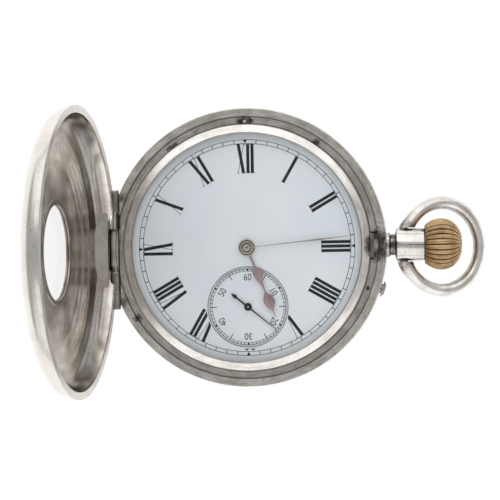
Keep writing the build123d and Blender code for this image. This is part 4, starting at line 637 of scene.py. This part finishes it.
def bow():
    """Round wire bent to a slightly lopsided ring, thickened where its ends bear on the sleeve."""
    shoulder, ring, wire = 3.12, 8.07, 1.175
    swell, swell_length = 0.22, 1.6
    flatter, pinch, pinch_length, droop = 0.93, 0.35, 2, 0.5
    meets = math.asin(shoulder / ring)
    gap = math.asin(1.3 / ring)
    place = Matrix.Translation((PIVOT_X, 0, STEM_Z)) @ Matrix.Rotation(BOW_DROOP, 4, "Y")
    bm = bmesh.new()
    section = bmesh.ops.create_circle(bm, cap_ends=False, segments=32, radius=wire)["verts"]
    start = Matrix.Rotation(-gap, 4, "Z") @ Matrix.Translation((-ring, 0, 0))
    bmesh.ops.transform(bm, matrix=start @ Matrix.Rotation(math.pi / 2, 4, "X"), verts=section)
    geom = section + list({e for v in section for e in v.link_edges})
    bmesh.ops.spin(bm, geom=geom, cent=(0, 0, 0), axis=(0, 0, -1), angle=math.tau - 2 * gap, steps=160)
    bmesh.ops.holes_fill(bm, edges=[e for e in bm.edges if e.is_boundary], sides=0)
    for vert in bm.verts:
        turn = math.atan2(vert.co.y, -vert.co.x)
        middle = Vector((-ring * math.cos(turn), ring * math.sin(turn), 0))
        from_end = max(0, abs(turn) - meets) * ring
        vert.co = middle + (vert.co - middle) * (1 + swell * math.exp(-(from_end / swell_length)**2))
        vert.co.x = vert.co.x * flatter - pinch * math.exp(-(from_end / pinch_length)**2) + 7.72
        vert.co.y -= droop
    bmesh.ops.transform(bm, matrix=place, verts=bm.verts)
    piece = finished(bm, "bow_ring", "bow", silver_bow, ("bow",), 50)
    spare = block((-5, -shoulder, -4), (7.5, shoulder, 4))
    bmesh.ops.transform(spare, matrix=place, verts=spare.verts)
    cut(piece, spare)
    piece.data.set_sharp_from_angle(angle=math.radians(50))
    bm = None
    for side in (-1, 1):
        bm = bar((0, side * 1.95, 0), (0, side * 3.3, 0), 0.75, 24, bm)
    bmesh.ops.transform(bm, matrix=place, verts=bm.verts)
    finished(bm, "bow_pins", "bow", silver_bow, (), 50)


def crown():
    """Onion crown: turned, then its flutes pressed in; old polish darkens the grooves."""
    start, length, flutes = 32.45, 6.8, 28
    bore, skirt_bore = 1.6, 3.15
    outline = flowing([(3.42, 0.0), (3.62, 0.15), (4.06, 0.8), (4.5, 1.75), (4.7, 2.9), (4.58, 4.0),
                       (4.14, 5.0), (3.4, 5.8), (2.5, 6.38), (1.6, 6.68), (0.8, 6.78)], 6)
    closed = [*outline, (0, length), (0, 3.0), (1.4, 3.0), (1.55, 0.65), (3.05, 0.65), (3.05, 0.0)]
    bm = turned([(r, start + z) for r, z in closed], flutes * 12)
    for vert in bm.verts:
        reach = math.hypot(vert.co.x, vert.co.y)
        if reach < bore or (reach < 3.1 and vert.co.z < start + 3):
            continue
        turn = math.atan2(vert.co.y, vert.co.x)
        # No two flutes are quite alike
        uneven = 1 + 0.22 * math.sin(3 * turn) * math.sin(5 * turn + 1)
        wave = abs(math.sin(flutes / 2 * (turn + 0.012 * math.sin(7 * turn))))
        depth = 0.40 * uneven * (1 - wave**0.6) * min(1, (reach - 1.0) / 1.6)
        # The skirt keeps its wall where it slides over the sleeve
        if vert.co.z < start + 0.7:
            depth = min(depth, reach - skirt_bore)
        vert.co.x *= 1 - depth / reach
        vert.co.y *= 1 - depth / reach
    bm = bar((0, 0, 30.75), (0, 0, start + 2), 1.55, 40, bm)
    piece = finished(along_stem(bm), "onion_crown", "crown", gilt, ("crown",), 60)
    piece.data.materials.append(gilt_groove)
    for face in piece.data.polygons:
        turn = math.atan2(face.center.y / MM, face.center.z / MM - STEM_Z)
        reach = math.hypot(face.center.y / MM, face.center.z / MM - STEM_Z)
        if reach > bore and abs(math.sin(flutes / 2 * (math.pi / 2 - turn))) < 0.14:
            face.material_index = 1


def sleeve_reflection_strip():
    """A dark strip along the top of the pendant's sleeve: a painted reflection of the dark room overhead."""
    bm = block((27.75, -0.05, STEM_Z + 2.8), (32.2, 0.05, STEM_Z + 3.035))
    finished(bm, "pendant_painted_reflection", "case", dark_groove_and_reflection)


bow()
crown()
sleeve_reflection_strip()


# Screws of the movement

# Each screw's distance from the centre, its angle and the height of its head's face
PLATE_SCREWS = [(18.9, 20, 3.8), (18.9, 120, 3.8), (18.9, -38, 3.8), (18.9, -82, 3.8)]
MOVEMENT_SCREWS = [(19.2, 75, 7.55), (19.2, 195, 7.55), (11.84, 0, 3.45), (16.6, 166, 3.0),
                   (17.9, 233, 5.4)]


def slotted(node, name, body, heads):
    """Screws of a node with a straight slot across each head, left at no two angles alike."""
    length, width, depth, clear_of_face = 4.8, 0.34, 0.28, 0.2
    piece = smooth_copy(node, name, body, steel, 30)
    for reach, degrees, face in heads:
        x, y = reach * math.cos(math.radians(degrees)), reach * math.sin(math.radians(degrees))
        slot = block((-length / 2, -width / 2, -clear_of_face), (length / 2, width / 2, depth))
        place = Matrix.Translation((x, y, face)) @ Matrix.Rotation(math.radians(degrees * 2.3), 4, "Z")
        bmesh.ops.transform(slot, matrix=place, verts=slot.verts)
        cut(piece, slot)
    piece.data.set_sharp_from_angle(angle=math.radians(30))


slotted("plate_screws", "plate_screws_slotted", "case", PLATE_SCREWS)
slotted("movement_screws", "movement_screws_slotted", "case", MOVEMENT_SCREWS)


# Dial printing

def stroke(bm, start, end, width, low, high, cleared=0.0):
    """One straight printed stroke, less what falls inside the cleared circle of the seconds dial."""
    start, end = Vector(start), Vector(end)
    side = (end - start).orthogonal().normalized() * width / 2
    outline = [start - side, end - side, end + side, start + side]
    if cleared:
        outline = outside(outline, Vector(SECONDS_AT), cleared)
    return plate([tuple(p) for p in outline], low, high, bm) if len(outline) > 2 else bm


def outside(outline, centre, radius):
    """The part of an outline that lies outside a circle, cut straight across where it meets the circle."""
    kept = []
    for i, point in enumerate(outline):
        before, after = outline[i - 1] - centre, point - centre
        if (before.length > radius) != (after.length > radius):
            run = after - before
            along = before.dot(run) / run.dot(run)
            root = math.sqrt(along**2 - (before.dot(before) - radius**2) / run.dot(run))
            share = next(t for t in (-along - root, -along + root) if 0 <= t <= 1)
            kept.append(before + run * share + centre)
        if after.length > radius:
            kept.append(point)
    return kept


def annulus(bm, radius, width, low, high, at=(0, 0), steps=180):
    """A printed circle."""
    new = turned([(radius - width / 2, low), (radius + width / 2, low), (radius + width / 2, high),
                  (radius - width / 2, high)], steps)
    bmesh.ops.translate(new, verts=new.verts, vec=(at[0], at[1], 0))
    return merged(bm, new)


NUMERALS = dict(enumerate(("I", "II", "III", "IIII", "V", "VI", "VII", "VIII", "IX", "X", "XI", "XII"), 1))
LETTER_WIDTH = {"I": 0.50, "V": 1.55, "X": 1.45}


def numeral(bm, text, angle, base, top, low, high, weight=1.0, gap=0.29, cleared=0.0):
    """A Roman numeral whose foot points to the centre, from a base to a top radius."""
    total = sum(LETTER_WIDTH[c] for c in text) * weight + gap * weight * (len(text) - 1)
    turn = math.radians(-angle)

    def at(across, up):
        radius = base + up * (top - base)
        c, s = math.cos(turn), math.sin(turn)
        return (across * c - radius * s, across * s + radius * c)

    x = -total / 2
    thick, thin, serif = 0.57 * weight, 0.09 * weight, 0.09 * weight
    broad, slight = thick / 2 + 0.13 * weight, 0.24 * weight
    for letter in text:
        wide = LETTER_WIDTH[letter] * weight
        middle = x + wide / 2
        reach = wide / 2 - thick / 2
        if letter == "I":
            bm = stroke(bm, at(middle, 0), at(middle, 1), thick, low, high, cleared)
            spans = ((middle, broad, 0), (middle, broad, 1))
        elif letter == "V":
            bm = stroke(bm, at(middle - reach, 1), at(middle + 0.08, 0), thick, low, high, cleared)
            bm = stroke(bm, at(middle + reach + 0.1, 1), at(middle + 0.12, 0), thin, low, high, cleared)
            spans = ((middle - reach, broad, 1), (middle + reach + 0.1, slight, 1))
        else:
            bm = stroke(bm, at(middle - reach, 1), at(middle + reach, 0), thick, low, high, cleared)
            bm = stroke(bm, at(middle + reach + 0.1, 1), at(middle - reach - 0.1, 0), thin, low, high,
                        cleared)
            spans = ((middle - reach, broad, 1), (middle + reach + 0.1, slight, 1),
                     (middle + reach, broad, 0), (middle - reach - 0.1, slight, 0))
        for centre, half, up in spans:
            bm = stroke(bm, at(centre - half, up), at(centre + half, up), serif, low, high, cleared)
        x += wide + gap * weight
    return bm


def ring_marks(bm, count, inner, outer, width, low, high, at=(0, 0), skip=None):
    """Radial ticks all round."""
    for tick in range(count):
        if skip and skip(tick):
            continue
        turn = tick * math.tau / count
        c, s = math.cos(turn), math.sin(turn)
        start, end = (at[0] + inner * s, at[1] + inner * c), (at[0] + outer * s, at[1] + outer * c)
        bm = stroke(bm, start, end, width, low, high)
    return bm


def dial_print():
    low, high = DIAL_TOP - 0.01, DIAL_TOP + 0.012
    inner, outer = 18.95, 19.66
    bm = annulus(None, inner, 0.10, low, high)
    bm = annulus(bm, outer, 0.10, low, high)
    bm = ring_marks(bm, 60, inner, outer, 0.13, low, high)
    for quarter in range(4):
        c, s = math.cos(quarter * math.pi / 2), math.sin(quarter * math.pi / 2)
        arrow = [(-0.36, 19.64), (0.36, 19.64), (0, 18.98)]
        bm = plate([(x * c - y * s, x * s + y * c) for x, y in arrow], low, high, bm)
    for hour, text in NUMERALS.items():
        if hour == 6:
            continue
        bm = numeral(bm, text, hour * 30, 13.6, 18.8, low, high, cleared=7.55)
    # Two serifs are all that is left of the VI
    for x in (-0.75, 0.35):
        bm = plate([(x, -18.42), (x + 0.9, -18.42), (x + 0.45, -18.78)], low, high, bm)
    for radius in (7.33, 6.93):
        bm = annulus(bm, radius, 0.09, low, high, SECONDS_AT, 120)
    finished(bm, "dial_figures", "case", black_print)


def seconds_print():
    low, high = DIAL_TOP - SECONDS_SINK - 0.01, DIAL_TOP - SECONDS_SINK + 0.012
    inner, outer = 6.53, 6.92
    size, reach, narrow, half_thick = 1.75, 5.35, 0.85, 0.011
    bm = annulus(None, inner, 0.07, low, high, SECONDS_AT, 120)
    bm = ring_marks(bm, 60, inner, outer, 0.10, low, high, SECONDS_AT)
    bm = ring_marks(bm, 6, 6.5, outer, 0.3, low, high, SECONDS_AT)
    bm = ring_marks(bm, 12, 5.65, outer, 0.13, low, high, SECONDS_AT, lambda tick: tick % 2 == 0)
    finished(bm, "seconds_track", "case", black_print)
    for number, text in enumerate(("60", "10", "20", "30", "40", "50")):
        curve = bpy.data.curves.new("figure", "FONT")
        curve.body = text
        curve.size = size
        curve.align_x = "CENTER"
        curve.align_y = "CENTER"
        curve.extrude = half_thick
        word = bpy.data.objects.new("figure", curve)
        bpy.context.scene.collection.objects.link(word)
        depsgraph = bpy.context.evaluated_depsgraph_get()
        mesh = bpy.data.meshes.new_from_object(word.evaluated_get(depsgraph))
        bpy.data.objects.remove(word)
        turn = Matrix.Rotation(math.radians(-60 * number), 4, "Z")
        place = Matrix.Translation((*SECONDS_AT, low + half_thick)) @ turn @ Matrix.Translation((0, reach, 0))
        mesh.transform(Matrix.Scale(MM, 4) @ place @ Matrix.Diagonal((narrow, 1, 1, 1)))
        settled(mesh, f"seconds_figure_{text}", "case", black_print, (), 35)


lid_figures()
dial_print()
seconds_print()


# Hands

def mirrored(half):
    """A full outline from the right half of one, given as half width and distance."""
    return [*half, *[(-w, d) for w, d in reversed(half)]]


def pointed(bm, degrees, at=(0, 0)):
    """Turns a hand made towards 12 o'clock to its place on the dial."""
    place = Matrix.Translation((at[0], at[1], 0)) @ Matrix.Rotation(math.radians(-degrees), 4, "Z")
    bmesh.ops.transform(bm, matrix=place, verts=bm.verts)
    return bm


def raised(profile, low):
    """A turned outline given from its foot up, set at a height."""
    return [(r, low + z) for r, z in profile]


def grooved(piece, rings):
    """Darkens the faces of a boss that lie in its sunk rings."""
    piece.data.materials.append(dark_groove_and_reflection)
    for face in piece.data.polygons:
        reach = math.hypot(face.center.x, face.center.y) / MM
        if face.normal.z > 0.3 and any(inner < reach < outer for inner, outer in rings):
            face.material_index = 1


def hour_hand():
    low = HOUR_LOW
    leaf = flowing([(0.18, 4.15), (0.55, 4.25), (0.80, 4.6), (0.84, 5.1), (0.72, 5.8), (0.42, 6.7),
                    (0.16, 7.6), (0.10, 8.2)], 4)
    pear = flowing([(0.10, 8.7), (0.28, 9.0), (0.72, 9.6), (0.97, 10.3), (0.93, 11.0), (0.62, 11.7),
                    (0.26, 12.2), (0.12, 12.7)], 4)
    half = [(0.22, 1.2), (0.17, 4.0), *leaf, *pear, (0.06, 13.7)]
    bm = plate(mirrored(half), low, low + 0.2, None, 0.05)
    finished(pointed(bm, HOUR_ANGLE), "hour_hand_gold", "hour", rose, ("hour_hand",), 30)
    boss = raised([(1.0, 0), (1.55, 0), (1.57, 0.14), (1.48, 0.29), (1.36, 0.30), (1.26, 0.14), (1.14, 0.12),
                   (1.0, 0.2)], low)
    piece = finished(turned(boss, 64), "hour_hand_boss", "hour", boss_metal, (), 30)
    grooved(piece, ((1.17, 1.31),))


def minute_hand():
    low = MINUTE_LOW
    half = [(0.15, 0.8), (0.09, 2.0), (0.12, 9.5), (0.20, 12.0), (0.17, 14.0), (0.10, 17.0), (0.04, 19.7)]
    bm = plate(mirrored(half), low, low + 0.2, None, 0.05)
    finished(pointed(bm, MINUTE_ANGLE), "minute_hand_gold", "minute", rose_pale,
             ("minute_hand",), 30)
    # Raised rim, sunk ring and a middle with a small countersunk hole
    boss = [(0.66, 0), (1.12, 0), (1.14, 0.12), (1.06, 0.24), (0.96, 0.25), (0.84, 0.12), (0.66, 0.12)]
    bm = turned(raised(boss, low), 64)
    cap = [(0, 0.14), (0.66, 0.14), (0.64, 0.26), (0.55, 0.32), (0.36, 0.32), (0.2, 0.17), (0, 0.16)]
    bm = merged(bm, turned(raised(cap, low), 64))
    piece = finished(bm, "minute_hand_boss", "minute", boss_metal, (), 30)
    grooved(piece, ((0.68, 0.86), (0, 0.2)))


def seconds_hand():
    low = SECONDS_LOW
    side = [(0.05, 6.7), (0.13, 0.4), (0.14, -2.6), (0.36, -2.95), (0.30, -3.2)]
    outline = [*side, (0, -3.95), *[(-w, d) for w, d in reversed(side)]]
    bm = plate(outline, low, low + 0.16, None, 0.02)
    boss = [(0.18, 0), (0.7, 0), (0.7, 0.12), (0.62, 0.2), (0.42, 0.2), (0.36, 0.12), (0.18, 0.12)]
    bm = merged(bm, turned(raised(boss, low), 48))
    finished(pointed(bm, SECONDS_ANGLE, SECONDS_AT), "seconds_hand_blued", "fourth", blued,
             ("seconds_hand",), 30)


hour_hand()
minute_hand()
seconds_hand()


# Floor, light and camera

def floor():
    """White table that keeps the soft shadow and looks white from everywhere."""
    reach, drop = 3000, 0.15
    bm = bmesh.new()
    bmesh.ops.create_grid(bm, x_segments=1, y_segments=1, size=reach)
    bmesh.ops.translate(bm, verts=bm.verts, vec=(0, 0, -drop))
    bmesh.ops.scale(bm, vec=(MM, MM, MM), verts=bm.verts)
    mesh = bpy.data.meshes.new("table_top")
    bm.to_mesh(mesh)
    bm.free()
    table = bpy.data.objects.new("table_top", mesh)
    bpy.context.scene.collection.objects.link(table)
    material, tree, shader = started("white_table")
    shader.inputs["Base Color"].default_value = srgb("#efefef")
    shader.inputs["Roughness"].default_value = 0.9
    glow = add(tree, "ShaderNodeEmission", Color=grey(1), Strength=1.04)
    path = add(tree, "ShaderNodeLightPath")
    seen = add(tree, "ShaderNodeMath", {"operation": "MAXIMUM"},
               n0=(path, "Is Camera Ray"), n1=(path, "Is Transmission Ray"))
    share = add(tree, "ShaderNodeMath", {"operation": "MULTIPLY"}, n0=(seen, "Value"), n1=0.9)
    mixed = add(tree, "ShaderNodeMixShader", Fac=(share, "Value"),
                n1=(shader, "BSDF"), n2=(glow, "Emission"))
    output = next(n for n in tree.nodes if n.type == "OUTPUT_MATERIAL")
    tree.links.new(mixed.outputs[0], output.inputs["Surface"])
    mesh.materials.append(material)


def lamp(name, at, target, size, power, size_y=None):
    light = bpy.data.lights.new(name, "AREA")
    light.energy = power
    light.size = size
    if size_y:
        light.shape = "RECTANGLE"
        light.size_y = size_y
    holder = bpy.data.objects.new(name, light)
    bpy.context.scene.collection.objects.link(holder)
    holder.location = at
    holder.rotation_euler = (Vector(target) - Vector(at)).to_track_quat("-Z", "Y").to_euler()


def studio():
    world = bpy.data.worlds.new("studio")
    bpy.context.scene.world = world
    world.use_nodes = True
    tree = world.node_tree
    tree.nodes.clear()
    path = add(tree, "ShaderNodeLightPath")
    # White behind the watch, a dim room in the polished metal, and an even fill on the enamel
    dim = add(tree, "ShaderNodeMapRange", Value=(path, "Is Glossy Ray"), n1=0.0, n2=1.0, n3=1.2, n4=0.54)
    level = add(tree, "ShaderNodeMix", n0=(path, "Is Camera Ray"), n2=(dim, 0), n3=1.0)
    back = add(tree, "ShaderNodeBackground", Color=grey(1), Strength=(level, 0))
    add(tree, "ShaderNodeOutputWorld", Surface=(back, "Background"))
    lamp("soft_top", (0.0, 0.55, 0.42), (0, 0, 0), 1.4, 3.0, 0.8)
    lamp("soft_front", (0.0, -0.55, 0.42), (0, 0, 0), 1.4, 2.5, 0.8)


def camera():
    # The focal length in picture widths follows from the photograph's perspective
    focal_pixels, picture, sensor = 2140, 500, 36
    eye = bpy.data.cameras.new("camera")
    eye.lens = focal_pixels * sensor / picture
    eye.sensor_width = sensor
    eye.clip_start = 0.01
    holder = bpy.data.objects.new("camera", eye)
    bpy.context.scene.collection.objects.link(holder)
    holder.location = (0.0215, 0.0053, 0.4001)
    holder.rotation_euler = (math.radians(-0.9), math.radians(3.06), math.radians(-1.06))
    bpy.context.scene.camera = holder


floor()
studio()
camera()
bpy.context.scene.view_settings.view_transform = "Standard"
